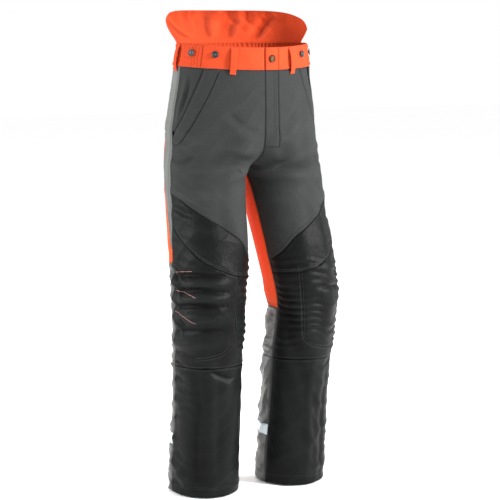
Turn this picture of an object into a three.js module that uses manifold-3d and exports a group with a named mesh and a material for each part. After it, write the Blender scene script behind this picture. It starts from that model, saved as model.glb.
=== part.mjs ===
// Protective work trousers for chainsaw users, as a three.js scene graph.
// Millimetres, +Z up. The wearer faces -Y, so the wearer's left side is +X.
// The origin is the centre of the waist opening, level with the top edge of the waistband.
import * as THREE from "three";
import Module from "manifold-3d";
import { mergeVertices } from "three/addons/utils/BufferGeometryUtils.js";

const wasm = await Module();
wasm.setup();

// ---------- driving dimensions ----------
const INSIDE_LEG = 757; // crotch to hem
const CROTCH = -288; // height of the crotch seam under the waist
const HEM = CROTCH - INSIDE_LEG;
const WAISTBAND_HEIGHT = 52;
const FRONT_DIP = 9; // the waistline dips this much at the fly
const WAIST_HALF_WIDTH = 160;
const WAIST_HALF_DEPTH = 113;
const HEM_HALF_WIDTH = 81;
const KIDNEY_HEIGHT = 76; // the raised back above the waistband
const KIDNEY_FLARE = 24;
const HIP_SEAM = 82; // the side seam at the hip, in degrees round from the front
const SHIN_SEAM = 94; // the side seam from the knee down
const INSEAM_FORWARD = 14; // the inside seam lies this many degrees to the front of the leg's inner side

const CLOTH = 2; // outer cloth with its backing
const PAD = 3.6; // the folded layers of cut-stopping fibre
const LINING = 1;
const SEW = 0.4; // clearance between pieces that are sewn together
const LAYER = 0.8; // clearance between inner layers
const BEHIND_CLOTH = 1.7; // clearance behind the outer cloth, which bends between its seams
const STEEP_SEAM = 1; // half the clearance where a seam climbs steeply
const CENTRE_GAP = 0.3; // each half stays this far from the middle plane
const INSEAM_GAP = 0.5; // half the clearance along the inside seam

const KNEE = -610; // height of the knee's turning axis
const KNEE_ABOVE = 80; // the soft part of the knee reaches this far over the axis
const KNEE_BELOW = 126;

const POCKET_END = -231; // the lower end of the hip pockets' welts
const FLY_WIDTH = 35;
const FLY_BOTTOM = -236;
const FLY_ZIP_DEPTH = 7.2; // the row of teeth lies this far behind the outer face
const POCKET_ZIP_DEPTH = 5.4;
const ZIP_BEAD = 2; // the teeth are square in section
const ZIP_TAPE = 6.5;
const TAPE_THICK = 0.8;
const ZIP_SPLIT = 0.9; // half the gap between the two rows of teeth
const SLIDER_WIDTH = 9;
const SLIDER_LENGTH = 11;
const SLIDER_PLATE = 1;
const RUNNING = 0.3; // clearance between sliding and turning pieces
const PULL_WIDTH = 5;
const PULL_LENGTH = 22;
const PULL_THICK = 0.9;
const BRIDGE_WIDTH = 1.4; // the arch on a slider that holds its pull
const BRIDGE_LENGTH = 5;
const BRIDGE_BAR = 0.7;

const BAND_PROUD = 1;
const BAND_THICK = 3;
const TAB_END = 0.6; // the free end of the waist tab, in degrees past the middle
const STUD_RADIUS = 7.5;
const STUD_POST = 2.4;
const BUTTONHOLE = STUD_RADIUS + 1.2;
const BRACE_BUTTON_RADIUS = 8;
const LOOP_WIDTH = 14;
const LOOP_GAP = 6; // room for a belt
const LOOP_STRAP = 1.8;
const LOOP_OVERHANG = 11; // the loops reach this far below the band
const REFLECTIVE_HEIGHT = 26;
const HEM_FACING = 24;
const FACING_GAP = 0.8;
const FACING_THICK = 1.2;

// ---------- materials ----------
const colours = {
  orange: [0xee4d28, 0.75, 0],
  grey: [0x565656, 0.8, 0],
  black: [0x242524, 0.7, 0],
  calf_grey: [0x6b6868, 0.6, 0],
  reflective: [0xc3d3d8, 0.35, 0.1],
  pad_white: [0xd9d8cf, 0.9, 0],
  lining: [0x3c3d3f, 0.8, 0],
  steel: [0x8d8f8c, 0.35, 1],
  back_grey: [0x848684, 0.6, 0],
  black_plastic: [0x101112, 0.4, 0],
  tape: [0x1b1b1c, 0.8, 0],
};
const materials = Object.fromEntries(
  Object.entries(colours).map(([name, [color, roughness, metalness]]) => [
    name,
    new THREE.MeshStandardMaterial({ name, color, roughness, metalness }),
  ]),
);

const trousers = new THREE.Group();

function add(name, material, geometry, matrix) {
  const mesh = new THREE.Mesh(geometry, materials[material]);
  mesh.name = name;
  if (matrix) mesh.applyMatrix4(matrix);
  trousers.add(mesh);
  return mesh;
}

// ---------- the body of the trousers ----------
// Each half is a lobe that is cut off by the middle plane above the crotch and is a closed tube below it.
// A station holds the height, the lobe's centre across and fore-and-aft, and its half width and half depth.
const STATIONS = [
  [120, 0, 0, WAIST_HALF_WIDTH, WAIST_HALF_DEPTH],
  [0, 0, 0, WAIST_HALF_WIDTH, WAIST_HALF_DEPTH],
  [-64, 0, 2, 169, 116.5],
  [-140, 12, 5, 167, 122],
  [-200, 34, 12, 150, 131],
  [-245, 62, 10, 122, 133],
  [CROTCH, 96, 4, 94.5, 118],
  [CROTCH - 87, 103, -13, 91, 108],
  [KNEE + 140, 112, -44, 90, 104],
  [KNEE, 124, -70, 82, 94],
  [KNEE - 125, 119.5, -52, 79, 88],
  [HEM + 205, 116.5, -44, 78, 86],
  [HEM + 95, 116, -31, 80, 87],
  [HEM, 115, -24, HEM_HALF_WIDTH, 88],
  [HEM - 60, 114, -20, HEM_HALF_WIDTH, 88],
];

// One column of the stations at a height, by a smooth curve that doesn't overshoot.
function station(z, column) {
  let k = 1;
  while (k < STATIONS.length - 1 && STATIONS[k][0] > z) k += 1;
  const [upper, lower] = [STATIONS[k - 1], STATIONS[k]];
  const slopeAt = (n) => {
    const before = STATIONS[Math.max(n - 1, 0)];
    const after = STATIONS[Math.min(n + 1, STATIONS.length - 1)];
    const here = STATIONS[n];
    const rise = [here[column] - before[column], after[column] - here[column]];
    if (rise[0] * rise[1] <= 0) return 0;
    return (after[column] - before[column]) / (after[0] - before[0]);
  };
  const span = lower[0] - upper[0];
  const t = (z - upper[0]) / span;
  const t2 = t * t;
  const t3 = t2 * t;
  return (
    upper[column] * (2 * t3 - 3 * t2 + 1) +
    slopeAt(k - 1) * span * (t3 - 2 * t2 + t) +
    lower[column] * (3 * t2 - 2 * t3) +
    slopeAt(k) * span * (t3 - t2)
  );
}

const radians = THREE.MathUtils.degToRad;
const degrees = THREE.MathUtils.radToDeg;
const mix = THREE.MathUtils.lerp;
const smooth = THREE.MathUtils.smoothstep;
const spread = (from, to, steps) => Array.from({ length: steps + 1 }, (_, k) => mix(from, to, k / steps));

// The angle where a lobe that is grown by `offset` meets the middle plane, or its inside seam.
function frontSeam(z, offset) {
  const reach = station(z, 3) + offset;
  const across = station(z, 1) - CENTRE_GAP;
  if (across < reach) return -degrees(Math.asin(across / reach));
  return -90 + INSEAM_FORWARD * smooth(CROTCH - z, 0, 100) + degrees(INSEAM_GAP / reach);
}

function backSeam(z, offset) {
  const reach = station(z, 3) + offset;
  const across = station(z, 1) - CENTRE_GAP;
  if (across < reach) return 180 + degrees(Math.asin(across / reach));
  return 270 + INSEAM_FORWARD * smooth(CROTCH - z, 0, 100) - degrees(INSEAM_GAP / reach);
}

const sideSeam = (z) => mix(HIP_SEAM, SHIN_SEAM, smooth(CROTCH - z, 60, 320));

// Round the half: 0 is the front or inside seam, 1 the side seam and 2 the back or inside seam again.
function angleAt(round, z, offset) {
  return round <= 1
    ? mix(frontSeam(z, offset), sideSeam(z), round)
    : mix(sideSeam(z), backSeam(z, offset), round - 1);
}

// The place round the front where the surface is `across` from the middle plane.
function roundAt(across, z) {
  const turn = degrees(Math.asin((across - station(z, 1)) / station(z, 3)));
  const start = frontSeam(z, 0);
  return (turn - start) / (sideSeam(z) - start);
}

// A point of the trousers at an angle round from the front. side is 1 for the wearer's left, -1 for the right.
function pointAt(side, angle, z, offset) {
  const turn = radians(angle);
  const dip = FRONT_DIP * Math.max(0, Math.cos(turn)) ** 2 * smooth(z, -220, -20);
  return new THREE.Vector3(
    side * (station(z, 1) + (station(z, 3) + offset) * Math.sin(turn)),
    station(z, 2) - (station(z, 4) + offset) * Math.cos(turn),
    z - dip,
  );
}

const skin = (side, round, z, offset) => pointAt(side, angleAt(round, z, offset), z, offset);

// A frame on the surface: X runs round the body, Y points in, Z up, so that -Y faces out as at the front.
function placeAt(side, angle, z, offset) {
  const at = pointAt(side, angle, z, offset);
  const along = pointAt(side, angle + 1, z, offset).sub(pointAt(side, angle - 1, z, offset));
  const up = pointAt(side, angle, z + 2, offset).sub(pointAt(side, angle, z - 2, offset)).normalize();
  along.multiplyScalar(side).normalize();
  const inwards = new THREE.Vector3().crossVectors(up, along).normalize();
  along.crossVectors(inwards, up).normalize();
  return new THREE.Matrix4().makeBasis(along, inwards, up).setPosition(at);
}

// A frame midway between two places on the surface, with Z up from one to the other and Y pointing in.
function between(low, high) {
  const up = new THREE.Vector3().subVectors(high.at, low.at).normalize();
  const inwards = new THREE.Vector3().addVectors(low.inwards, high.inwards);
  const across = new THREE.Vector3().crossVectors(inwards, up).normalize();
  inwards.crossVectors(up, across).normalize();
  const middle = new THREE.Vector3().addVectors(low.at, high.at).multiplyScalar(0.5);
  return new THREE.Matrix4().makeBasis(across, inwards, up).setPosition(middle);
}

function endOn(side, angle, z, depth) {
  const place = placeAt(side, angle, z, -depth);
  return {
    at: new THREE.Vector3().setFromMatrixPosition(place),
    inwards: new THREE.Vector3().setFromMatrixColumn(place, 1),
  };
}

// Turns an outline that was drawn as depth and height, and extruded, so that it is extruded across.
const SIDEWAYS = new THREE.Matrix4().makeBasis(
  new THREE.Vector3(0, 1, 0),
  new THREE.Vector3(0, 0, 1),
  new THREE.Vector3(1, 0, 0),
);

// ---------- solids ----------
// A closed plate between two grids of points. face(p, q, outer) gives a point, with p across and q down.
function plate(face, columns, rows) {
  const positions = [];
  for (const outer of [true, false]) {
    for (let j = 0; j <= rows; j += 1) {
      for (let i = 0; i <= columns; i += 1) {
        positions.push(...face(i / columns, j / rows, outer).toArray());
      }
    }
  }
  const layer = (columns + 1) * (rows + 1);
  const index = (i, j, outer) => j * (columns + 1) + i + (outer ? 0 : layer);
  const triangles = [];
  const quad = (a, b, c, d) => triangles.push(a, b, c, a, c, d);
  for (let j = 0; j < rows; j += 1) {
    for (let i = 0; i < columns; i += 1) {
      quad(index(i, j + 1, true), index(i + 1, j + 1, true), index(i + 1, j, true), index(i, j, true));
      quad(index(i, j + 1, false), index(i, j, false), index(i + 1, j, false), index(i + 1, j + 1, false));
    }
  }
  for (let i = 0; i < columns; i += 1) {
    quad(index(i, 0, true), index(i + 1, 0, true), index(i + 1, 0, false), index(i, 0, false));
    quad(index(i + 1, rows, true), index(i, rows, true), index(i, rows, false), index(i + 1, rows, false));
  }
  for (let j = 0; j < rows; j += 1) {
    quad(index(0, j + 1, true), index(0, j, true), index(0, j, false), index(0, j + 1, false));
    quad(index(columns, j, true), index(columns, j + 1, true), index(columns, j + 1, false), index(columns, j, false));
  }
  return facingOut(positions, triangles);
}

// Turns a closed mesh the right way out, as a mirrored half comes out inside out.
function facingOut(positions, triangles) {
  const corner = (k) => new THREE.Vector3().fromArray(positions, 3 * triangles[k]);
  let volume = 0;
  for (let k = 0; k < triangles.length; k += 3) {
    volume += corner(k).dot(corner(k + 1).cross(corner(k + 2)));
  }
  if (volume < 0) triangles.reverse();
  const geometry = new THREE.BufferGeometry();
  geometry.setAttribute("position", new THREE.Float32BufferAttribute(positions, 3));
  geometry.setIndex(triangles);
  return geometry;
}

// All panels have rows at the same heights and columns at the same places, so that layers lie parallel.
const LEVELS = [
  ...[200, 148, 112, 84, 42, 31, 21, 10, 0, -22, -55, -110, -180].map((above) => CROTCH + above),
  ...[POCKET_END, POCKET_END - 2 * SEW, FLY_BOTTOM, FLY_BOTTOM - 2 * SEW],
  ...[85, 42, 0, -42, -85, -126].map((above) => KNEE + above),
  ...[240, 170, 100].map((above) => HEM + above),
];
const SQUEEZE = 0.5; // rows that a slanted edge pushes together stay this far apart
const NARROW = 0.012; // and columns stay this share of the half apart

// A panel of one half, between two places round it and two heights. Each edge may be a function of the
// other direction, and jumps are extra heights that get a row of their own. A clipped panel keeps its
// columns in place where an edge cuts into it.
function panel(side, { from, to, top, bottom, jumps = [], clipped, outer = 0, thick = CLOTH, columns }) {
  const value = (edge, ...at) => (typeof edge === "function" ? edge(...at) : edge);
  const guess = (p) => mix(value(from, KNEE), value(to, KNEE), p);
  const across = spread(0, 1, columns).map(guess);
  const high = Math.max(...across.map((round) => value(top, round)));
  const low = Math.min(...across.map((round) => value(bottom, round)));
  const stops = [...LEVELS, ...jumps].filter((level) => level < high - 2 && level > low + 2);
  stops.sort((a, b) => b - a);
  const rows = stops.length + 1;
  const heightAt = (round, row) => {
    const [upper, lower] = [value(top, round), value(bottom, round)];
    if (row === 0) return upper;
    if (row === rows) return lower;
    return THREE.MathUtils.clamp(stops[row - 1], lower + SQUEEZE * (rows - row), upper - SQUEEZE * row);
  };
  return plate(
    (p, q, isOuter) => {
      const z = heightAt(guess(p), Math.round(q * rows));
      const [start, end, column] = [value(from, z), value(to, z), Math.round(p * columns)];
      const round = clipped
        ? THREE.MathUtils.clamp(guess(p), start + NARROW * column, end - NARROW * (columns - column))
        : mix(start, end, p);
      return skin(side, round, z, value(outer, z) - (isOuter ? 0 : thick));
    },
    columns,
    rows,
  );
}

// A strip round the waist between two angles from the front, with the wearer's left counted upwards.
// Its upright lines near the fly stay upright, although the waist widens downwards.
function strip({ angles, top, bottom, outer, thick, rows = 1 }) {
  const last = angles.length - 1;
  return plate(
    (p, q, isOuter) => {
      const angle = angles[Math.round(p * last)];
      const z = mix(top(angle), bottom(angle), q);
      const upright = mix(WAIST_HALF_WIDTH / station(z, 3), 1, smooth(Math.abs(angle), 15, 50));
      return pointAt(1, angle * upright, z, outer(angle, z) - (isOuter ? 0 : thick));
    },
    last,
    rows,
  );
}

function extrude(outline, depth, holes = []) {
  const shape = new THREE.Shape(outline.map(([x, y]) => new THREE.Vector2(x, y)));
  shape.holes = holes.map((hole) => new THREE.Path(hole.map(([x, y]) => new THREE.Vector2(x, y))));
  return new THREE.ExtrudeGeometry(shape, { depth, bevelEnabled: false });
}

// A turned piece whose axis points out of the cloth, along the local -Y. The profile is [radius, height] pairs.
function turned(profile, segments = 20) {
  const lathe = new THREE.LatheGeometry(profile.map(([r, h]) => new THREE.Vector2(r, h)), segments);
  return lathe.rotateX(Math.PI);
}

function manifoldOf(geometry) {
  const bare = geometry.clone();
  bare.deleteAttribute("normal");
  bare.deleteAttribute("uv");
  const merged = mergeVertices(bare, 1e-4);
  return new wasm.Manifold(
    new wasm.Mesh({
      numProp: 3,
      vertProperties: merged.attributes.position.array,
      triVerts: new Uint32Array(merged.index.array),
    }),
  );
}

function geometryOf(solid) {
  const mesh = solid.getMesh();
  const geometry = new THREE.BufferGeometry();
  geometry.setAttribute("position", new THREE.BufferAttribute(mesh.vertProperties, 3));
  geometry.setIndex(new THREE.BufferAttribute(mesh.triVerts, 1));
  return geometry;
}

const sides = [
  ["left", 1],
  ["right", -1],
];

// ---------- seams between the panels ----------
const PANEL_TOP = -WAISTBAND_HEIGHT - SEW;
const KNEE_END = KNEE - KNEE_BELOW;
const REFLECTIVE_TOP = HEM + 142;
const FACING_END = POCKET_END + 31;
const MOUTH = { left: 0.085, right: 0.006 }; // the left pocket's mouth holds a zip

// The lower edge of the grey front: high at the side seam, low along the inside seam.
const greyEdge = (round) => mix(-505, -352, 0.98 * round + 0.1 * smooth(round, 0.12, 0.34));
// The top of the knee patch, which runs up to the side seam.
const patchEdge = (round) => mix(KNEE + KNEE_ABOVE, -412, round ** 2.6);
// The top of the orange back: it climbs steeply from the side seam and then runs across under the seat.
const orangeTop = (round) => mix(-480, -215, smooth(round, 0.97, 1.24)) - 30 * smooth(round, 1.6, 2);

// The bottom of the orange back: at the knee on the inside, and a hand higher at the side seam.
const orangeBottom = (round) => mix(KNEE + 112, KNEE - 5, smooth(round, 1.03, 1.5));

// The seam in front of the pocket welt, and the welt's free edge at the mouth.
function weltSeam(z) {
  const down = (z - PANEL_TOP) / (POCKET_END - PANEL_TOP);
  return 0.457 + 0.3 * down + 0.15 * down ** 4;
}
function mouthEdge(z) {
  const down = Math.min(1, (z - PANEL_TOP) / (POCKET_END + 18 - PANEL_TOP));
  return 0.628 + 0.3 * down + 0.06 * down ** 4;
}
const SIDE_GAP = 0.002;
const INNER_TOP = PANEL_TOP - 10;
const BEHIND_ZIPS = 7;

// The lining stands off behind the zips, and at the hem it lies against the facing.
function liningFace(z) {
  const behindPad = CLOTH + BEHIND_CLOTH + PAD + mix(LAYER, BEHIND_ZIPS, smooth(z, CROTCH - 52, CROTCH + 26));
  const behindFacing = CLOTH + FACING_GAP + FACING_THICK + LAYER;
  return -mix(behindFacing, behindPad, smooth(z, HEM + HEM_FACING + 6, HEM + HEM_FACING + 28));
}

for (const [name, side] of sides) {
  const flyEdge = (z) => (side > 0 && z >= FLY_BOTTOM ? roundAt(FLY_WIDTH + SEW, z) : 0);
  add(`front_upper_${name}`, "grey", panel(side, {
    from: flyEdge,
    to: (z) => (z >= POCKET_END ? weltSeam(z) - SIDE_GAP : 1 - SIDE_GAP),
    top: PANEL_TOP,
    bottom: (round) => greyEdge(round) + SEW / 2,
    clipped: true,
    columns: 10,
  }));
  add(`pocket_welt_${name}`, "grey", panel(side, {
    from: (z) => weltSeam(z) + SIDE_GAP,
    to: mouthEdge,
    top: PANEL_TOP,
    bottom: POCKET_END + SEW,
    columns: 3,
  }));
  add(`pocket_facing_${name}`, "grey", panel(side, {
    from: (z) => Math.min(mouthEdge(z) + MOUTH[name], 0.985),
    to: 1 - SIDE_GAP,
    top: PANEL_TOP,
    bottom: FACING_END,
    outer: -0.4,
    columns: 3,
  }));
  add(`seat_${name}`, "back_grey", panel(side, {
    from: 1 + SIDE_GAP,
    to: 2,
    top: PANEL_TOP,
    bottom: (round) => orangeTop(round) + STEEP_SEAM,
    columns: 10,
  }));
  add(`thigh_back_${name}`, "orange", panel(side, {
    from: 1 + SIDE_GAP,
    to: 2,
    top: (round) => orangeTop(round) - STEEP_SEAM,
    bottom: orangeBottom,
    columns: 10,
  }));
  add(`thigh_front_${name}`, "black", panel(side, {
    from: 0,
    to: 1 - SIDE_GAP,
    top: (round) => greyEdge(round) - SEW / 2,
    bottom: (round) => patchEdge(round) + SEW / 2,
    columns: 10,
  }));
  add(`knee_patch_${name}`, "black", panel(side, {
    from: 0,
    to: 1 - SIDE_GAP,
    top: (round) => patchEdge(round) - SEW / 2,
    bottom: KNEE_END + SEW / 2,
    columns: 10,
  }));
  add(`shin_front_${name}`, "black", panel(side, {
    from: 0,
    to: 1 - SIDE_GAP,
    top: KNEE_END - SEW / 2,
    bottom: HEM,
    columns: 10,
  }));
  add(`knee_back_${name}`, "calf_grey", panel(side, {
    from: 1 + SIDE_GAP,
    to: 2,
    top: (round) => orangeBottom(round) - SEW,
    bottom: KNEE_END + SEW / 2,
    columns: 10,
  }));
  add(`calf_${name}`, "calf_grey", panel(side, {
    from: 1 + SIDE_GAP,
    to: 2,
    top: KNEE_END - SEW / 2,
    bottom: HEM,
    columns: 10,
  }));
  add(`reflective_band_${name}`, "reflective", panel(side, {
    from: 1 + SIDE_GAP,
    to: 2,
    top: REFLECTIVE_TOP,
    bottom: REFLECTIVE_TOP - REFLECTIVE_HEIGHT,
    outer: CLOTH / 2 + 1.5 * SEW,
    thick: CLOTH / 2,
    columns: 10,
  }));
  // The inner layers. The pad stops short of the pocket, and the lining stands off behind the zips.
  add(`cut_pad_${name}`, "pad_white", panel(side, {
    from: 0.2,
    to: 1.1,
    top: (round) => mix(INNER_TOP, POCKET_END - 24, smooth(round, 0.3, 0.62)),
    bottom: HEM + HEM_FACING + 30,
    outer: -CLOTH - BEHIND_CLOTH,
    thick: PAD,
    columns: 9,
  }));
  add(`lining_${name}`, "lining", panel(side, {
    from: (z) => mix(0.1, roundAt(FLY_WIDTH + 8, z), smooth(z, FLY_BOTTOM - 50, FLY_BOTTOM - 10)),
    to: 1.9,
    top: INNER_TOP,
    bottom: HEM + 2 * SEW,
    jumps: [HEM + HEM_FACING + 6, HEM + HEM_FACING + 28],
    clipped: true,
    outer: liningFace,
    thick: LINING,
    columns: 18,
  }));
  add(`pocket_bag_${name}`, "lining", panel(side, {
    from: 0.4,
    to: 1,
    top: INNER_TOP,
    bottom: POCKET_END - 60,
    outer: (z) => liningFace(z) - LINING - LAYER,
    thick: LINING,
    columns: 6,
  }));
  add(`hem_facing_${name}`, "black", panel(side, {
    from: 0.02,
    to: 1.98,
    top: HEM + HEM_FACING,
    bottom: HEM + SEW,
    outer: -CLOTH - FACING_GAP,
    thick: FACING_THICK,
    columns: 20,
  }));
}

// ---------- waistband and kidney panel ----------
const ELASTIC_START = 55;
const hingeAngle = degrees(Math.asin(FLY_WIDTH / WAIST_HALF_WIDTH));
const bandGap = degrees(SEW / WAIST_HALF_WIDTH);
const UNDERLAP = hingeAngle - 1.5;
const underTab = BAND_PROUD - BAND_THICK - SEW;
const bandStrip = (angles, outer = () => BAND_PROUD, thick = BAND_THICK) =>
  strip({ angles, top: () => 0, bottom: () => -WAISTBAND_HEIGHT, outer, thick, rows: 2 });

add("waistband_left", "orange", bandStrip(spread(hingeAngle + bandGap, ELASTIC_START - bandGap, 6)));
add("waistband_back", "orange", bandStrip(spread(ELASTIC_START, 360 - ELASTIC_START, 26)));
// The right band steps down behind the tab, where it carries the stud.
add("waistband_right", "orange", bandStrip(
  [...spread(bandGap - ELASTIC_START, -TAB_END, 7), 0.1, ...spread(2, UNDERLAP, 3)],
  (angle) => (angle > 0 ? underTab : BAND_PROUD),
));

const STUD_ANGLE = 6.5;
const studPlace = placeAt(1, STUD_ANGLE, -WAISTBAND_HEIGHT / 2, BAND_PROUD);
const hole = new THREE.CylinderGeometry(BUTTONHOLE, BUTTONHOLE, 30, 24).applyMatrix4(studPlace);
const tab = bandStrip(spread(TAB_END, hingeAngle - bandGap / 2, 4));
add("waist_tab", "orange", geometryOf(manifoldOf(tab).subtract(manifoldOf(hole))));
const studFoot = -BAND_THICK - 0.1;
add("tack_button", "steel", turned([
  [0, studFoot],
  [STUD_POST * 2, studFoot],
  [STUD_POST * 2, studFoot + 0.8],
  [STUD_POST, studFoot + 0.8],
  [STUD_POST, 0.8],
  [STUD_RADIUS - 1, 0.8],
  [STUD_RADIUS, 1.8],
  [STUD_RADIUS - 1.2, 3],
  [STUD_RADIUS - 2.6, 2.5],
  [0, 2.5],
], 24), studPlace);

const KIDNEY_END = 93;
const KIDNEY_CURL = radians(130); // it stands furthest out below its top edge, which curls in again
add("kidney_panel", "orange", strip({
  angles: spread(KIDNEY_END, 360 - KIDNEY_END, 20),
  top: (angle) => KIDNEY_HEIGHT * (1 - 0.6 * Math.abs((angle - 180) / (180 - KIDNEY_END)) ** 5),
  bottom: () => SEW,
  outer: (angle, z) => KIDNEY_FLARE * Math.sin((KIDNEY_CURL * z) / KIDNEY_HEIGHT) ** 1.2,
  thick: CLOTH,
  rows: 6,
}));

// ---------- belt loops and brace buttons ----------
const FOOT = 9;
const LOOP_SEAT = 0.3; // stands off the curved band
function loopGeometry() {
  const [high, low] = [WAISTBAND_HEIGHT / 2 - 2, -WAISTBAND_HEIGHT / 2 - LOOP_OVERHANG];
  const [near, far] = [-LOOP_SEAT, -LOOP_SEAT - LOOP_GAP];
  const outline = [
    [near, low],
    [far - LOOP_STRAP, low],
    [far - LOOP_STRAP, high],
    [near, high],
    [near, high - FOOT],
    [near - LOOP_STRAP, high - FOOT],
    [far, high - FOOT - LOOP_GAP / 2],
    [far, low + FOOT + LOOP_GAP / 2],
    [near - LOOP_STRAP, low + FOOT],
    [near, low + FOOT],
  ];
  return extrude(outline, LOOP_WIDTH).translate(0, 0, -LOOP_WIDTH / 2).applyMatrix4(SIDEWAYS);
}
const LOOPS = [
  ["front_left", 26.5],
  ["side_left", 89],
  ["back_left", 137],
  ["back", 180],
  ["back_right", -137],
  ["side_right", -89],
  ["front_right", -26.5],
];
for (const [name, angle] of LOOPS) {
  const ends = [-WAISTBAND_HEIGHT, 0].map((z) => endOn(1, angle, z, -BAND_PROUD));
  add(`belt_loop_${name}`, "orange", loopGeometry(), between(...ends));
}

const BRACE_BUTTONS = [
  ["front_left", 42.7],
  ["side_left", 67.2],
  ["back_left", 169],
  ["back_right", -169],
  ["side_right", -67.2],
  ["front_right", -42.7],
];
for (const [name, angle] of BRACE_BUTTONS) {
  add(`brace_button_${name}`, "black_plastic", turned([
    [0, SEW + 0.1],
    [3, SEW + 0.1],
    [3, 2],
    [BRACE_BUTTON_RADIUS - 0.6, 2],
    [BRACE_BUTTON_RADIUS, 2.8],
    [BRACE_BUTTON_RADIUS - 0.8, 4.2],
    [0, 4.2],
  ]), placeAt(1, angle, -20, BAND_PROUD));
}

// ---------- zips ----------
// Each zip is straight. Its own X runs across, Y points in and Z runs up, with the teeth on the Z axis.
const zipTape = (sign, length) => {
  const [bead, edge] = [ZIP_SPLIT + ZIP_BEAD, ZIP_SPLIT + ZIP_BEAD + ZIP_TAPE];
  const outline = [
    [ZIP_SPLIT, -ZIP_BEAD / 2],
    [bead, -ZIP_BEAD / 2],
    [bead, -TAPE_THICK / 2],
    [edge, -TAPE_THICK / 2],
    [edge, TAPE_THICK / 2],
    [bead, TAPE_THICK / 2],
    [bead, ZIP_BEAD / 2],
    [ZIP_SPLIT, ZIP_BEAD / 2],
  ].map(([x, y]) => [sign * x, y]);
  return extrude(outline, length).translate(0, 0, -length / 2);
};

const plateFace = ZIP_BEAD / 2 + RUNNING + SLIDER_PLATE;
const axisDepth = -(plateFace + RUNNING + PULL_THICK / 2);

function sliderGeometry() {
  const [web, half, near] = [ZIP_SPLIT - RUNNING, SLIDER_WIDTH / 2, ZIP_BEAD / 2 + RUNNING];
  const body = extrude([
    [-half, -plateFace],
    [half, -plateFace],
    [half, -near],
    [web, -near],
    [web, near],
    [half, near],
    [half, plateFace],
    [-half, plateFace],
    [-half, near],
    [-web, near],
    [-web, -near],
    [-half, -near],
  ], SLIDER_LENGTH).translate(0, 0, -SLIDER_LENGTH / 2);
  const inner = -plateFace - PULL_THICK - 2 * RUNNING;
  const [outer, end] = [inner - BRIDGE_BAR, BRIDGE_LENGTH / 2];
  const bridge = extrude([
    [-plateFace + 0.2, -end],
    [outer, -end],
    [outer, end],
    [-plateFace + 0.2, end],
    [-plateFace + 0.2, end - BRIDGE_BAR],
    [inner, end - BRIDGE_BAR],
    [inner, -end + BRIDGE_BAR],
    [-plateFace + 0.2, -end + BRIDGE_BAR],
  ], BRIDGE_WIDTH).translate(0, 0, -BRIDGE_WIDTH / 2).applyMatrix4(SIDEWAYS);
  return geometryOf(manifoldOf(body).add(manifoldOf(bridge)));
}

// The pull hangs from its top bar, which turns under the slider's bridge. The bar lies on the X axis.
function pullGeometry() {
  const [half, bar, window] = [PULL_WIDTH / 2, PULL_THICK / 2, BRIDGE_WIDTH / 2 + RUNNING];
  const outline = [
    [-half, bar],
    [-half, -PULL_LENGTH],
    [half, -PULL_LENGTH],
    [half, bar],
  ];
  const eye = [
    [-window, -bar],
    [window, -bar],
    [window, -bar - BRIDGE_LENGTH],
    [-window, -bar - BRIDGE_LENGTH],
  ];
  return extrude(outline, PULL_THICK, [eye]).rotateX(Math.PI / 2).translate(0, PULL_THICK / 2, 0);
}

function addZip(name, place, length, sliderAt) {
  add(`${name}_tape_left`, "tape", zipTape(1, length), place);
  add(`${name}_tape_right`, "tape", zipTape(-1, length), place);
  const slider = place.clone().multiply(new THREE.Matrix4().makeTranslation(0, 0, sliderAt));
  add(`${name}_slider`, "steel", sliderGeometry(), slider);
  const pull = slider.clone().multiply(new THREE.Matrix4().makeTranslation(0, axisDepth, 0));
  add(`${name}_pull`, "steel", pullGeometry(), pull);
}

const alongZip = (ends) => ends[0].at.distanceTo(ends[1].at);

// ---------- fly ----------
add("fly_placket", "grey", panel(1, {
  from: 0,
  to: (z) => roundAt(FLY_WIDTH, z),
  top: PANEL_TOP,
  bottom: FLY_BOTTOM,
  columns: 4,
}));

const onFly = (z) => endOn(1, angleAt(roundAt(FLY_WIDTH / 2, z), z, 0), z, FLY_ZIP_DEPTH);
const flyEnds = [onFly(FLY_BOTTOM + 20), onFly(-WAISTBAND_HEIGHT / 2 - 6)];
const flyPlace = between(...flyEnds);
const flyLength = alongZip(flyEnds);
addZip("fly_zip", flyPlace, flyLength, flyLength / 2 - 34 - SLIDER_LENGTH / 2);
const shieldFace = plateFace + 2 * RUNNING;
add("fly_shield", "grey", new THREE.BoxGeometry(FLY_WIDTH + 4, 1.2, flyLength)
  .translate(-4, shieldFace + 0.6, 0), flyPlace);

// ---------- left hip pocket zip ----------
const onPocket = (z) => endOn(1, angleAt(mouthEdge(z) + MOUTH.left / 2, z, 0), z, POCKET_ZIP_DEPTH);
const pocketEnds = [onPocket(-186), onPocket(PANEL_TOP - 6)];
const pocketLength = alongZip(pocketEnds);
addZip("pocket_zip", between(...pocketEnds), pocketLength, pocketLength / 2 - 16 - SLIDER_LENGTH / 2);

export default trousers;
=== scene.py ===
# %% [markdown]
# # Protective work trousers for chainsaw users
#
# Bright orange and grey work trousers with cut-stopping fibre in the front of the legs. They hang as if
# worn, with nobody in them. Every panel of cloth is its own piece, laid on the same surface that the CAD
# solids were made from, so that seams meet. Lengths in the formulas are millimetres, as in the CAD, and
# one function turns points into metres. The wearer faces -Y, and the wearer's left is +X.

import math

import bpy
import numpy as np
from mathutils import Matrix, Vector, kdtree


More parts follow.
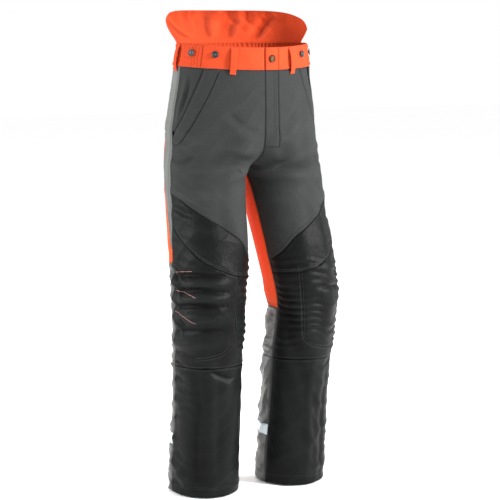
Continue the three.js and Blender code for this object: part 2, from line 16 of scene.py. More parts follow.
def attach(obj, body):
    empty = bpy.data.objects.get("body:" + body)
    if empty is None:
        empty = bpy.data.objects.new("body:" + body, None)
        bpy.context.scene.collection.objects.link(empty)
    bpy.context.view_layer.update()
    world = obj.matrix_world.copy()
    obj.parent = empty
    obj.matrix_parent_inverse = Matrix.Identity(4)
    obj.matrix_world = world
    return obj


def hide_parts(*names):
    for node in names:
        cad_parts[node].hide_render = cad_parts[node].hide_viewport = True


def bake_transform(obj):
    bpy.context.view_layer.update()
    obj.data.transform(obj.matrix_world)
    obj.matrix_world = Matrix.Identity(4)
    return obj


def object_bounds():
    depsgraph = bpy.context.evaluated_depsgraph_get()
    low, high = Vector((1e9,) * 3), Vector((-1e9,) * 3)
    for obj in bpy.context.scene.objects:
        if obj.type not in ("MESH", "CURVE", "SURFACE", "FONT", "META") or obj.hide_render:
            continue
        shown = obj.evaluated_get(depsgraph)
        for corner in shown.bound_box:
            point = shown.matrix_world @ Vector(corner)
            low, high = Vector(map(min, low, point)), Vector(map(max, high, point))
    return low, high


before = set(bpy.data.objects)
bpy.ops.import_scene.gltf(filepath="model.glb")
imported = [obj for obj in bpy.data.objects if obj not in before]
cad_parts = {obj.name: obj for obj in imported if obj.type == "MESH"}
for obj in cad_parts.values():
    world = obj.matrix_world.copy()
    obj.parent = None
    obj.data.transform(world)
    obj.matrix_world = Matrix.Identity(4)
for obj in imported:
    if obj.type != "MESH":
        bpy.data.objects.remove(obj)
cad_low, cad_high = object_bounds()
MM = 0.001
print("CAD box", [round(x, 4) for x in (*cad_low, *cad_high)])

# %% [markdown]
# ## Camera, light and floor
#
# The trousers are seen from the wearer's right front, at waist height, through a long lens. A long lens
# from far away keeps both legs the same size. Three soft lamps and a white surround act as a light tent:
# it could also be done with a sky picture, but lamps are easier to aim across the folds.

# %% Camera, light and floor
AIM = Vector((0.015, -0.01, -0.487))
EYE = AIM + Vector((-0.454 * 3.75, -0.891 * 3.75, 0.527))


def aimed(thing, name, where, at):
    made = bpy.data.objects.new(name, thing)
    bpy.context.scene.collection.objects.link(made)
    made.location = where
    made.rotation_euler = (at - Vector(where)).to_track_quat("-Z", "Y").to_euler()
    return made


lens = bpy.data.cameras.new("camera")
lens.lens, lens.sensor_width = 115, 36
bpy.context.scene.camera = aimed(lens, "camera", EYE, AIM)

for name, where, width, power in [
    ("key_light", (2.4, -2.7, 1.1), 0.7, 290),
    ("side_light", (-2.9, 0.9, 0.5), 0.6, 85),
    ("back_light", (1.2, 3.0, 1.6), 1.4, 60),
]:
    lamp = bpy.data.lights.new(name, "AREA")
    lamp.size, lamp.energy = width, power
    aimed(lamp, name, where, AIM)

world = bpy.data.worlds.new("light_tent")
world.use_nodes = True
world.node_tree.nodes["Background"].inputs["Color"].default_value = (1, 1, 1, 1)
world.node_tree.nodes["Background"].inputs["Strength"].default_value = 1.0
bpy.context.scene.world = world
bpy.context.scene.view_settings.view_transform = "Standard"  # so that hex colours come out as given

# %% [markdown]
# ## The surface that every panel lies on
#
# Real trousers are cut flat and take their shape from the body. Here each half is a lobe, an ellipse that
# changes with height: cut off by the middle plane above the crotch, and a closed tube below it. A place on
# it is "round" (0 at the front or inside seam, 1 at the side seam, 2 at the back or inside seam again)
# and a height. These are the CAD's own formulas, so each piece sits where its solid is.

# %% The lobes
INSIDE_LEG = 757  # crotch to hem
CROTCH = -288
HEM = CROTCH - INSIDE_LEG
BAND_HEIGHT = 52
WAIST_HALF_WIDTH, WAIST_HALF_DEPTH = 160, 113
FRONT_DIP = 9
HIP_SEAM, SHIN_SEAM = 82, 94
INSEAM_FORWARD = 14
CLOTH, PAD, LINING = 2, 3.6, 1
SEW, LAYER, BEHIND_CLOTH, STEEP_SEAM = 0.4, 0.8, 1.7, 0.05
CENTRE_GAP, INSEAM_GAP = 0.3, 0.5
KNEE = -610
KNEE_END = KNEE - 126
STATIONS = np.array([  # height, centre across, centre fore and aft, half width, half depth
    (120, 0, 0, WAIST_HALF_WIDTH, WAIST_HALF_DEPTH),
    (0, 0, 0, WAIST_HALF_WIDTH, WAIST_HALF_DEPTH),
    (-64, 0, 2, 169, 116.5),
    (-140, 12, 5, 167, 122),
    (-200, 34, 12, 150, 131),
    (-245, 62, 10, 122, 133),
    (CROTCH, 96, 4, 94.5, 118),
    (CROTCH - 87, 103, -13, 91, 108),
    (KNEE + 140, 112, -44, 90, 104),
    (KNEE, 124, -70, 82, 94),
    (KNEE - 125, 119.5, -52, 79, 88),
    (HEM + 205, 116.5, -44, 78, 86),
    (HEM + 95, 116, -31, 80, 87),
    (HEM, 115, -24, 81, 88),
    (HEM - 60, 114, -20, 81, 88),
], dtype=float)


def slopes(column):
    found = np.zeros(len(STATIONS))
    for k in range(len(STATIONS)):
        before, after = STATIONS[max(k - 1, 0)], STATIONS[min(k + 1, len(STATIONS) - 1)]
        here = STATIONS[k][column]
        if (here - before[column]) * (after[column] - here) > 0:
            found[k] = (after[column] - before[column]) / (after[0] - before[0])
    return found


SLOPES = [slopes(column) for column in range(5)]


def station(z, column):
    z = np.asarray(z, dtype=float)
    heights, values, slope = STATIONS[:, 0], STATIONS[:, column], SLOPES[column]
    k = np.clip(np.searchsorted(-heights, -z), 1, len(heights) - 1)
    span = heights[k] - heights[k - 1]
    t = (z - heights[k - 1]) / span
    rise = 3 * t**2 - 2 * t**3
    bend = slope[k - 1] * (t**3 - 2 * t**2 + t) + slope[k] * (t**3 - t**2)
    return values[k - 1] * (1 - rise) + values[k] * rise + span * bend


def mix(a, b, t):
    return a + (b - a) * t


def smooth(x, low, high):
    t = np.clip((x - low) / (high - low), 0, 1)
    return t * t * (3 - 2 * t)


def seam_angle(z, offset, back):
    """The angle where the lobe meets the middle plane, or its inside seam, at the front or the back."""
    reach, across = station(z, 3) + offset, station(z, 1) - CENTRE_GAP
    cut = np.degrees(np.arcsin(np.clip(across / reach, -1, 1)))
    gap = np.degrees(INSEAM_GAP / reach)
    inside = 90 - INSEAM_FORWARD * smooth(CROTCH - z, 0, 100)
    closed = across >= reach
    if back:
        return np.where(closed, 360 - inside - gap, 180 + cut)
    return np.where(closed, gap - inside, -cut)


def side_seam(z):
    return mix(HIP_SEAM, SHIN_SEAM, smooth(CROTCH - z, 60, 320))


def angle_at(r, z, offset):
    middle = side_seam(z)
    front = mix(seam_angle(z, offset, False), middle, r)
    return np.where(r <= 1, front, mix(middle, seam_angle(z, offset, True), r - 1))


def round_at(across, z):
    turn = np.degrees(np.arcsin((across - station(z, 1)) / station(z, 3)))
    start = seam_angle(z, 0, False)
    return (turn - start) / (side_seam(z) - start)


def point_at(side, angle, z, offset):
    turn = np.radians(angle)
    dip = FRONT_DIP * np.maximum(0, np.cos(turn)) ** 2 * smooth(z, -220, -20)
    x = side * (station(z, 1) + (station(z, 3) + offset) * np.sin(turn))
    y = station(z, 2) - (station(z, 4) + offset) * np.cos(turn)
    return np.stack(np.broadcast_arrays(x, y, z - dip), axis=-1)


# %% [markdown]
# ## Folds
#
# Worn cloth is never smooth: it gathers at the knee, drags from the crotch and crumples beside the
# pockets. The folds could be painted as bumps, but then outlines stay straight, so they are real heights
# off the surface. One field serves every panel, its lining, its seams and its stitches, so all of them
# rise and fall together. It adds up soft rolls that wander over an area, and single folds along a path.

# %% Folds
HALF = 240  # about the length of cloth from the front seam to the side seam, which makes round a length


def rolls(u, z, spacing, turn, seed):
    """Creased rolls about spacing apart, which run at turn degrees from level, wander and fade."""
    a = math.radians(turn)
    along = (u * math.cos(a) + z * math.sin(a)) / spacing
    across = (z * math.cos(a) - u * math.sin(a)) / spacing
    drift = 0.3 * np.sin(0.9 * along + 2.1 * seed) + 0.16 * np.sin(2.3 * along + 1.3 * across + 4.7 * seed)
    swell = 0.55 + 0.45 * np.sin(0.6 * along + 1.6 * np.sin(0.8 * across + seed) + 3.3 * seed)
    crest = 1 - np.abs(np.sin(math.pi * (across + drift)))
    return swell * (crest**1.4 - 0.3)


def window(value, low, high, fade):
    return smooth(value, low - fade, low) * (1 - smooth(value, high, high + fade))


def near_path(path, u, z):
    """The distance from a path, and how far along it the nearest place is, from 0 to 1."""
    nearest, where = np.full(np.shape(u), 1e9), np.zeros(np.shape(u))
    ends = [(r * HALF, height) for r, height in path]
    spans = [math.dist(a, b) for a, b in zip(ends, ends[1:])]
    gone = 0
    for (ua, za), (ub, zb), span in zip(ends, ends[1:], spans):
        t = np.clip(((u - ua) * (ub - ua) + (z - za) * (zb - za)) / span**2, 0, 1)
        distance = np.hypot(u - mix(ua, ub, t), z - mix(za, zb, t))
        closer = distance < nearest
        nearest, where = np.where(closer, distance, nearest), np.where(closer, gone + t * span, where)
        gone += span
    return nearest, where / gone


BOTH, LEFT, RIGHT = (1, -1), (1,), (-1,)
FOLD_HEIGHT, FOLD_WIDTH = 1.3, 0.85  # all the single folds together are made this much higher and narrower
# The seam that curves round each knee.
PATCH_SEAM = {
    -1: [(0.36, -500), (0.35, -574), (0.31, -650), (0.34, -680), (0.44, -700), (0.55, -708), (0.72, -714)],
    1: [(0.29, -512), (0.26, -586), (0.28, -656), (0.32, -688), (0.44, -704), (0.64, -711), (0.85, -708)],
}
# Single folds: sides, height in mm (below 0 for a valley), width, and its path as (round, height).
FOLDS = [
    # drag lines from the crotch
    (LEFT, -4.0, 9, [(0.00, -262), (0.16, -274), (0.30, -272)]),
    (LEFT, 3.2, 13, [(0.05, -282), (0.22, -288), (0.45, -300), (0.70, -300)]),
    (LEFT, -3.0, 11, [(0.02, -305), (0.25, -318), (0.48, -322)]),
    (RIGHT, -3.0, 10, [(0.00, -255), (0.20, -262), (0.42, -250)]),
    (RIGHT, 2.6, 13, [(0.00, -272), (0.25, -285), (0.52, -282)]),
    (RIGHT, -2.4, 10, [(0.05, -300), (0.30, -312), (0.50, -318)]),
    (BOTH, 2.0, 10, [(0.05, -225), (0.25, -205), (0.42, -170)]),
    (BOTH, -1.6, 8, [(0.05, -205), (0.22, -185), (0.36, -150)]),
    # the hips
    (RIGHT, 3.0, 9, [(0.86, -70), (0.90, -130), (0.95, -185)]),
    (RIGHT, -3.2, 7, [(0.80, -75), (0.85, -125), (0.90, -165)]),
    (RIGHT, 2.4, 8, [(0.62, -215), (0.80, -235), (0.98, -228)]),
    (RIGHT, -2.4, 8, [(0.70, -250), (0.85, -268), (1.02, -262)]),
    (LEFT, 2.6, 11, [(0.55, -215), (0.75, -240), (0.98, -236)]),
    (LEFT, -2.2, 9, [(0.60, -262), (0.80, -280), (1.00, -272)]),
    # thighs
    (RIGHT, 2.4, 12, [(0.98, -330), (0.80, -350), (0.62, -345)]),
    (RIGHT, -2.6, 9, [(1.02, -365), (0.86, -385), (0.70, -385)]),
    (RIGHT, 2.4, 11, [(1.00, -430), (0.85, -442), (0.66, -470)]),
    (LEFT, 2.6, 12, [(1.00, -345), (0.80, -360), (0.55, -350)]),
    (LEFT, -2.4, 10, [(1.00, -395), (0.84, -410), (0.66, -400)]),
    # the right knee: deep level folds from the side seam to the middle of the patch
    (RIGHT, -5.2, 7, [(1.10, -512), (0.92, -522), (0.69, -518), (0.44, -520)]),
    (RIGHT, 3.6, 9, [(1.08, -534), (0.86, -540), (0.60, -536), (0.42, -540)]),
    (RIGHT, -5.0, 7, [(1.10, -550), (0.92, -558), (0.68, -550), (0.44, -558)]),
    (RIGHT, 4.2, 10, [(1.08, -572), (0.88, -576), (0.64, -568), (0.42, -572)]),
    (RIGHT, -5.4, 7, [(1.12, -590), (0.94, -594), (0.68, -586), (0.44, -588)]),
    (RIGHT, 4.4, 12, [(1.10, -618), (0.90, -622), (0.66, -616), (0.42, -620)]),
    (RIGHT, -5.0, 8, [(1.12, -648), (0.95, -650), (0.68, -642), (0.42, -644)]),
    (RIGHT, 3.2, 12, [(1.08, -676), (0.88, -680), (0.62, -676), (0.44, -682)]),
    (RIGHT, -3.4, 8, [(1.08, -704), (0.88, -700), (0.66, -708)]),
    (RIGHT, -1.5, 3, PATCH_SEAM[-1]),
    (LEFT, -1.8, 3, PATCH_SEAM[1]),
    # short slanting crumples between the right knee's side seam and its deep folds
    (RIGHT, 4.0, 5, [(0.99, -500), (0.93, -514), (0.88, -532)]),
    (RIGHT, 4.4, 5, [(1.00, -538), (0.93, -552), (0.87, -574)]),
    (RIGHT, 4.6, 5, [(1.00, -572), (0.94, -592), (0.87, -618)]),
    (RIGHT, 4.4, 5, [(1.00, -612), (0.93, -634), (0.86, -660)]),
    (RIGHT, -3.2, 5, [(0.97, -520), (0.90, -538), (0.84, -556)]),
    (RIGHT, -3.6, 5, [(0.97, -588), (0.90, -612), (0.84, -638)]),
    # the left knee
    (LEFT, -4.2, 6, [(0.44, -560), (0.58, -563), (0.74, -568)]),
    (LEFT, 3.4, 20, [(0.36, -560), (0.62, -600), (0.86, -590)]),
    (LEFT, -3.0, 9, [(0.36, -655), (0.60, -672), (0.92, -660)]),
    (LEFT, 2.6, 10, [(0.34, -510), (0.60, -520), (0.86, -512)]),
    # shins
    (RIGHT, 3.4, 13, [(0.57, -720), (0.55, -800), (0.55, -900), (0.52, -1000), (0.52, -1050)]),
    (RIGHT, -3.2, 13, [(0.72, -735), (0.68, -820), (0.70, -910), (0.68, -1045)]),
    (RIGHT, -3.4, 7, [(0.70, -722), (0.56, -744), (0.38, -762), (0.24, -756)]),
    (RIGHT, 2.6, 8, [(0.64, -742), (0.50, -766), (0.34, -780)]),
    (RIGHT, -2.6, 6, [(1.06, -722), (0.92, -728), (0.80, -738)]),
    (RIGHT, -2.6, 6, [(1.06, -756), (0.94, -762), (0.84, -770)]),
    (RIGHT, 3.0, 12, [(0.95, -985), (0.80, -1012), (0.62, -1016)]),
    (LEFT, 2.8, 13, [(0.45, -735), (0.42, -830), (0.46, -940), (0.44, -1045)]),
    (LEFT, -3.0, 13, [(0.66, -740), (0.62, -840), (0.64, -960), (0.62, -1045)]),
    (LEFT, -2.6, 8, [(0.80, -735), (0.60, -756), (0.36, -750)]),
    (LEFT, 2.4, 10, [(0.95, -990), (0.72, -1010), (0.50, -1000)]),
    # behind the knee and down the calf
    (BOTH, -4.5, 9, [(1.15, -560), (1.45, -572), (1.85, -560)]),
    (BOTH, 4.5, 12, [(1.12, -585), (1.45, -600), (1.88, -588)]),
    (BOTH, -5.0, 9, [(1.12, -618), (1.45, -634), (1.90, -618)]),
    (BOTH, 4.0, 12, [(1.15, -650), (1.50, -662), (1.90, -648)]),
    (BOTH, -4.0, 10, [(1.15, -690), (1.50, -700), (1.85, -690)]),
    (BOTH, 3.2, 12, [(1.20, -760), (1.50, -790), (1.95, -770)]),
    (BOTH, -3.2, 11, [(1.15, -800), (1.55, -835), (1.95, -812)]),
    (BOTH, 3.0, 12, [(1.20, -850), (1.60, -880), (1.95, -862)]),
    (BOTH, -3.0, 11, [(1.15, -985), (1.50, -962), (1.92, -985)]),
    (BOTH, 3.0, 11, [(1.15, -1012), (1.55, -992), (1.92, -1018)]),
    # under the seat
    (BOTH, -3.6, 12, [(1.30, -262), (1.60, -290), (1.95, -300)]),
    (BOTH, 3.4, 15, [(1.25, -292), (1.60, -325), (1.95, -338)]),
    (BOTH, -3.0, 12, [(1.15, -350), (1.50, -378), (1.90, -372)]),
    (BOTH, 2.4, 14, [(1.20, -180), (1.50, -205), (1.95, -235)]),
    (BOTH, 2.4, 14, [(1.20, -430), (1.55, -450), (1.90, -436)]),
]


drapes = {}  # the simulation further on puts its layer here
DRAPE_Z = np.arange(-60.0, HEM - 3, -6.0)


def simulated(side, r, z):
    """The simulated layer here, between the places of its grid."""
    if side not in drapes:
        return 0 * r
    grid = drapes[side]
    across = np.clip(r / 2 * (grid.shape[1] - 1), 0, grid.shape[1] - 1.001)
    down = np.clip((DRAPE_Z[0] - z) / (DRAPE_Z[0] - DRAPE_Z[1]), 0, grid.shape[0] - 1.001)
    i, j = across.astype(int), down.astype(int)
    p, q = across - i, down - j
    return mix(mix(grid[j, i], grid[j, i + 1], p), mix(grid[j + 1, i], grid[j + 1, i + 1], p), q)


def relief(side, r, z):
    """How far the cloth stands off the smooth surface here, in mm."""
    r, z = np.broadcast_arrays(np.asarray(r, dtype=float), np.asarray(z, dtype=float))
    u = r * HALF
    seed = 1.0 if side > 0 else 2.6
    worn = smooth(-z, 66, 120)
    lift = worn * (2.2 * rolls(u, z, 66, 24, seed) + 1.6 * rolls(u, z, 41, -31, seed + 5))
    lift += 1.8 * worn * rolls(u, z, 23, 14, seed + 9) * smooth(np.abs(r - 1), 0.5, 0.12)
    # gathers beside both knees
    at_knee = window(z, -700, -505, 22)
    beside = 0.35 + 0.65 * smooth(np.abs(r - 0.5), 0.16, 0.34)
    slant = 7 * np.sin(r * 9 + seed) + 4 * np.sin(z / 31 + 5 * r)
    gather = 0.5 + 0.5 * np.cos(2 * math.pi * (z + 0.16 * u + slant) / 17)
    gather *= 0.6 + 0.4 * np.sin(z / 23 + 2 * seed + 6 * r)
    inner = window(r, -0.1, 0.26, 0.06) + (window(r, 0.52, 1.0, 0.1) if side > 0 else 0)
    lift += 3.6 * at_knee * beside * inner * (gather - 0.3)
    if side > 0:  # the left knee also gathers on both sides of its upright seam
        lift += 3.4 * at_knee * window(np.abs(r - 0.29), 0.02, 0.14, 0.06) * (gather - 0.3)
    # slanting rolls beside the inside seam, close level ones behind the knee, wide ones down the calf
    low_leg = window(z, HEM, -650, 25) * window(r, 1.6, 1.97, 0.05)
    behind_knee = window(z, -720, -500, 30) * window(r, 1.05, 1.95, 0.08)
    calf_cloth = window(z, HEM, -745, 30) * window(r, 1.0, 2.0, 0.05)
    lift += 3.5 * low_leg * rolls(u, z, 31, 58 * side, seed + 4)
    lift += 3.0 * behind_knee * rolls(u, z, 24, 4, seed + 2)
    lift += 4.0 * calf_cloth * rolls(u, z, 46, 26 * side, seed + 3)
    for sides, height, width, path in FOLDS:
        if side in sides:
            distance, where = near_path(path, u, z)
            ends = np.sqrt(np.clip(np.sin(math.pi * np.clip(where, 0.02, 0.98)), 0, 1))
            lift += FOLD_HEIGHT * height * ends * np.exp(-((distance / (FOLD_WIDTH * width)) ** 2))
    lift += simulated(side, r, z)
    if side > 0:  # quiet over the two zips, which lie close behind
        near_zips = np.maximum(1 - smooth(r, 0.2, 0.32), window(r, 0.6, 0.95, 0.06))
        lift *= 1 - 0.75 * window(z, -215, -40, 15) * near_zips
    # flat at the waistband, and held in where the two legs meet
    inside = np.minimum(r, 2 - r)
    lift *= smooth(-z, 54, 84)
    lift *= smooth(inside, 0.0, 0.07)
    crotch = window(z, -470, -232, 40)
    between_legs = window(z, -470, -292, 20)
    lift *= mix(1, smooth(inside, 0.0, 0.22), crotch)
    return lift - 1.2 * between_legs * (1 - smooth(inside, 0, 0.12))


def skin(side, r, z, offset):
    lift = offset + relief(side, r, z)
    return point_at(side, angle_at(r, z, lift), z, lift)


print("folds", len(FOLDS))

# %% [markdown]
# ## A simulated drape
#
# Formulas give the folds that can be named. The small crumples between them come from a cloth simulation:
# a thin skin of each half is hung from the waist and held along its seams. It is given more cloth than
# the space it fills, mostly up and down, so it buckles into level creases as slack trouser legs do. Only
# how far each place moved in or out is kept, as one more layer of the same field, and it is capped.

# %% Simulated crumples
DRAPE_ROUND = np.linspace(0, 2, 89)
DRAPE_STEPS, DRAPE_HEIGHT, DRAPE_CAP = 18, 3.0, 5.0
EXTRA_LONG, EXTRA_WIDE = 1.045, 1.012  # how much more cloth there is than room


def blurred(grid, reach):
    """The grid averaged over 2 * reach + 1 places, twice, along both directions."""
    kernel = np.ones(2 * reach + 1) / (2 * reach + 1)
    for axis in (0, 1, 0, 1):
        grid = np.apply_along_axis(
            lambda row: np.convolve(np.pad(row, reach, mode="edge"), kernel, mode="valid"), axis, grid,
        )
    return grid


def drape(side):
    """How far a slack skin of one half moves outwards, in mm, on a grid of heights and rounds."""
    r, z = np.meshgrid(DRAPE_ROUND, DRAPE_Z)
    start = skin(side, r, z, 0 * r)
    out = skin(side, r, z, 0 * r + 1) - start
    rows, cols = r.shape
    number = np.arange(rows * cols).reshape(rows, cols)
    corners = [number[1:, :-1], number[1:, 1:], number[:-1, 1:], number[:-1, :-1]]
    quads = np.stack(corners, axis=-1).reshape(-1, 4)
    mesh = bpy.data.meshes.new("slack_skin")
    mesh.from_pydata((start.reshape(-1, 3) * MM).tolist(), [], quads[:, ::side].tolist())
    body = bpy.data.objects.new("slack_skin", mesh)
    bpy.context.scene.collection.objects.link(body)
    body.shape_key_add(name="worn")
    cut = body.shape_key_add(name="cut")
    centre = np.stack([side * station(z, 1), station(z, 2), np.full(z.shape, float(CROTCH))], axis=-1)
    slack = centre + (start - centre) * [EXTRA_WIDE, EXTRA_WIDE, EXTRA_LONG]
    cut.data.foreach_set("co", (slack.reshape(-1, 3) * MM).ravel())
    cut.value = 0
    held = np.minimum(r, 2 - r)
    hold = np.maximum.reduce([
        1 - smooth(held, 0.0, 0.05), 1 - smooth(-z, 60, 84), smooth(z, HEM + 8, HEM + 2),
        0.35 * (1 - smooth(np.abs(r - 1), 0.0, 0.03)), 0.25 * (1 - smooth(np.abs(z - KNEE_END), 4, 9)),
    ]).ravel()
    group = body.vertex_groups.new(name="seams")
    for level in np.unique(np.round(hold, 1)):
        if level > 0:
            group.add(np.flatnonzero(np.round(hold, 1) == level).tolist(), float(level), "REPLACE")
    modifier = body.modifiers.new("cloth", "CLOTH")
    settings = modifier.settings
    settings.vertex_group_mass = "seams"
    settings.rest_shape_key = cut
    settings.quality, settings.mass, settings.air_damping = 6, 0.35, 3
    settings.tension_stiffness = settings.compression_stiffness = 25
    settings.shear_stiffness, settings.bending_stiffness = 12, 1.2
    settings.tension_damping = settings.compression_damping = settings.bending_damping = 10
    settings.use_pressure, settings.uniform_pressure_force = True, 0.6
    modifier.point_cache.frame_end = DRAPE_STEPS
    scene = bpy.context.scene
    for step in range(1, DRAPE_STEPS + 1):
        scene.frame_set(step)
    graph = bpy.context.evaluated_depsgraph_get()
    found = body.evaluated_get(graph).to_mesh()
    moved = np.empty(len(found.vertices) * 3)
    found.vertices.foreach_get("co", moved)
    bpy.data.objects.remove(body)
    scene.frame_set(1)
    lift = ((moved.reshape(rows, cols, 3) / MM - start) * out).sum(axis=2)
    # slow swings are taken out, so only the creases stay, and they are brought to an even height
    crease = blurred(lift, 1) - blurred(lift, 9)
    crease *= DRAPE_HEIGHT / np.percentile(np.abs(crease), 90)
    return DRAPE_CAP * np.tanh(crease / DRAPE_CAP)


for side in BOTH:
    drapes[side] = drape(side)
    print("drape", side, "from", round(drapes[side].min(), 1), "to", round(drapes[side].max(), 1))

# %% [markdown]
# ## Cloth finishes
#
# Each panel's cloth has its own weave and wear. A finish could be one flat colour with a fabric picture
# on it. Here it is worked out from threads instead: a twill or plain weave at a real spacing, slow
# patches of tone, seams darkened partly as dust and partly as painted shade in their hollows, fold
# valleys darkened as painted shade, and crests made paler, partly as wear and partly as a painted
# highlight. Colours are given as sRGB hex values, which one function turns into the linear values that
# Blender mixes.

# %% Node and colour helpers
def linear(value, shade=1.0):
    """An sRGB hex colour as Blender's linear colour."""
    parts = [int(value[k : k + 2], 16) / 255 for k in (1, 3, 5)]
    return (*[shade * (c / 12.92 if c <= 0.04045 else ((c + 0.055) / 1.055) ** 2.4) for c in parts], 1)


def add(tree, kind, inputs=None, **settings):
    """Adds one node. Each input is a value, or the socket that feeds it."""
    made = tree.nodes.new(kind)
    for key, value in settings.items():
        setattr(made, key, value)
    for socket, value in (inputs or {}).items():
        if isinstance(value, bpy.types.NodeSocket):
            tree.links.new(value, made.inputs[socket])
        else:
            made.inputs[socket].default_value = value
    return made


def blank_material(name):
    made = bpy.data.materials.new(name)
    made.use_nodes = True
    made.node_tree.nodes.clear()
    return made, made.node_tree


WAVE = 0.314  # a wave texture at scale 1 repeats after this length


# rub sets how much paler the specks and the crests are: the crests partly as wear, partly as a painted
# highlight. shade sets how much darker the tone patches, the seams and the valleys are: the valleys as
# painted shade.
def cloth(
    name, colour, thread, twill=45, roughness=0.8, sheen=0.1, gloss=0.15, rub=1.5, shade=0.5, mottle=0.2,
    bump=0.6,
):
    """Woven cloth. thread is the spacing of the weave in mm, and twill the slant of its ribs."""
    made, tree = blank_material(name)
    place = add(tree, "ShaderNodeUVMap", uv_map="weave").outputs["UV"]
    turned = add(tree, "ShaderNodeMapping", {"Vector": place, "Rotation": (0, 0, math.radians(twill))})
    ribs = add(tree, "ShaderNodeTexWave", {
        "Vector": turned.outputs["Vector"], "Scale": WAVE / (thread * MM), "Distortion": 0.6, "Detail": 1.0,
    })
    cross = add(tree, "ShaderNodeTexWave", {
        "Vector": turned.outputs["Vector"], "Scale": WAVE / (thread * MM), "Distortion": 0.6, "Detail": 1.0,
    }, bands_direction="Y")
    weave = add(tree, "ShaderNodeMath", {
        0: ribs.outputs["Fac"], 1: cross.outputs["Fac"],
    }, operation="MULTIPLY")
    slow = add(tree, "ShaderNodeTexNoise", {"Vector": place, "Scale": 16, "Detail": 4.0, "Roughness": 0.6})
    fine = add(tree, "ShaderNodeTexNoise", {"Vector": place, "Scale": 260, "Detail": 3.0, "Roughness": 0.7})
    patch = add(tree, "ShaderNodeMapRange", {
        "Value": slow.outputs["Fac"], "From Min": 0.3, "From Max": 0.7, "To Min": 0.0, "To Max": mottle,
    })
    base = add(tree, "ShaderNodeMix", {
        0: patch.outputs["Result"], 6: linear(colour), 7: linear(colour, shade),
    }, data_type="RGBA")
    speck = add(tree, "ShaderNodeMapRange", {
        "Value": fine.outputs["Fac"], "From Min": 0.35, "From Max": 0.65, "To Min": 0.0, "To Max": 0.28,
    })
    threads = add(tree, "ShaderNodeMix", {
        0: speck.outputs["Result"], 6: base.outputs[2], 7: linear(colour, rub),
    }, data_type="RGBA")
    fold = add(tree, "ShaderNodeAttribute", attribute_name="fold")
    # the crests of the folds are made paler: partly wear, partly a painted highlight
    crest = add(tree, "ShaderNodeMapRange", {
        "Value": fold.outputs["Fac"], "From Min": 0.8, "From Max": 5.0, "To Min": 0.0, "To Max": 0.5,
    })
    crests = add(tree, "ShaderNodeMix", {
        0: crest.outputs["Result"], 6: threads.outputs[2], 7: linear(colour, rub),
    }, data_type="RGBA")
    # the valleys of the folds are darkened: painted shade
    valley = add(tree, "ShaderNodeMapRange", {
        "Value": fold.outputs["Fac"], "From Min": -0.6, "From Max": -5.0, "To Min": 0.0, "To Max": 0.85,
    })
    valleys = add(tree, "ShaderNodeMix", {
        0: valley.outputs["Result"], 6: crests.outputs[2], 7: linear(colour, shade),
    }, data_type="RGBA")
    # the seams are darkened: partly dust, partly painted shade in the hollow where the cloth turns down
    seam = add(tree, "ShaderNodeAttribute", attribute_name="seam")
    edge = add(tree, "ShaderNodeMath", {0: seam.outputs["Fac"], 1: 0.3}, operation="MULTIPLY")
    colours = add(tree, "ShaderNodeMix", {
        0: edge.outputs[0], 6: valleys.outputs[2], 7: linear(colour, shade * 0.8),
    }, data_type="RGBA")
    creases = add(tree, "ShaderNodeTexNoise", {
        "Vector": place, "Scale": 95, "Detail": 3.0, "Distortion": 0.8,
    })
    soft = add(tree, "ShaderNodeBump", {
        "Height": creases.outputs["Fac"], "Strength": bump, "Distance": 1.6 * MM,
    })
    grain = add(tree, "ShaderNodeBump", {
        "Height": weave.outputs[0], "Strength": 0.45, "Distance": 0.3 * MM, "Normal": soft.outputs["Normal"],
    })
    shader = add(tree, "ShaderNodeBsdfPrincipled", {
        "Base Color": colours.outputs[2], "Normal": grain.outputs["Normal"], "Roughness": roughness,
        "Sheen Weight": sheen, "Sheen Roughness": 0.45, "Specular IOR Level": gloss,
    })
    shader.inputs["Sheen Tint"].default_value = linear(colour, rub)
    add(tree, "ShaderNodeOutputMaterial", {"Surface": shader.outputs["BSDF"]})
    return made


# %% Cloth materials
# Twill ribs on work cloth are 0.5 to 1 mm apart. They are drawn 1.8 to 2.6 mm apart, so that they still
# show when the trousers fill the picture.
GREY = cloth(  # dusty, mid grey
    "grey_stretch_twill", "#292a2a", 1.9, twill=52, rub=1.8, shade=0.42, sheen=0.04,
)
BLACK = cloth(  # deep black, slightly satin, with crests painted paler as a highlight and valleys painted dark as shade
    "black_ripstop_nylon", "#0b0c0c", 2.4, twill=2, roughness=0.46, sheen=0.0, gloss=0.08, rub=3.8,
    shade=0.15,
)
ORANGE = cloth(  # vivid and matt
    "fluorescent_orange_polyester", "#bb3e1c", 1.8, twill=50, rub=1.35, shade=0.6, sheen=0.05,
)
ORANGE_PAINTED_LIT = cloth(  # the same orange, painted brighter as light on the shaded backs of the thighs
    "orange_polyester_painted_lit", "#dc5226", 1.8, twill=50, rub=1.25, shade=0.66, sheen=0.05,
)
BACK = cloth("light_grey_stretch_cloth", "#646664", 2.0, twill=40, rub=1.3, roughness=0.7)  # pale and even
CALF = cloth(  # smooth and glossy; its crests are also painted paler as a highlight, its valleys darker as shade
    "smooth_grey_calf_cloth", "#3c3c3b", 2.2, twill=88, roughness=0.36, sheen=0.03, gloss=0.4, rub=2.4,
)
LINED = cloth("black_mesh_lining", "#1d1e1f", 2.6, twill=45, rub=1.6, bump=0.25)  # dull and open
FIBRE = cloth("white_cut_stopping_fibre", "#d9d8cf", 2.6, twill=90, rub=1.1, shade=0.8)  # loose long threads
TAPE = cloth("black_zip_tape", "#17181a", 1.4, twill=45, rub=1.8, bump=0.2)  # close herringbone


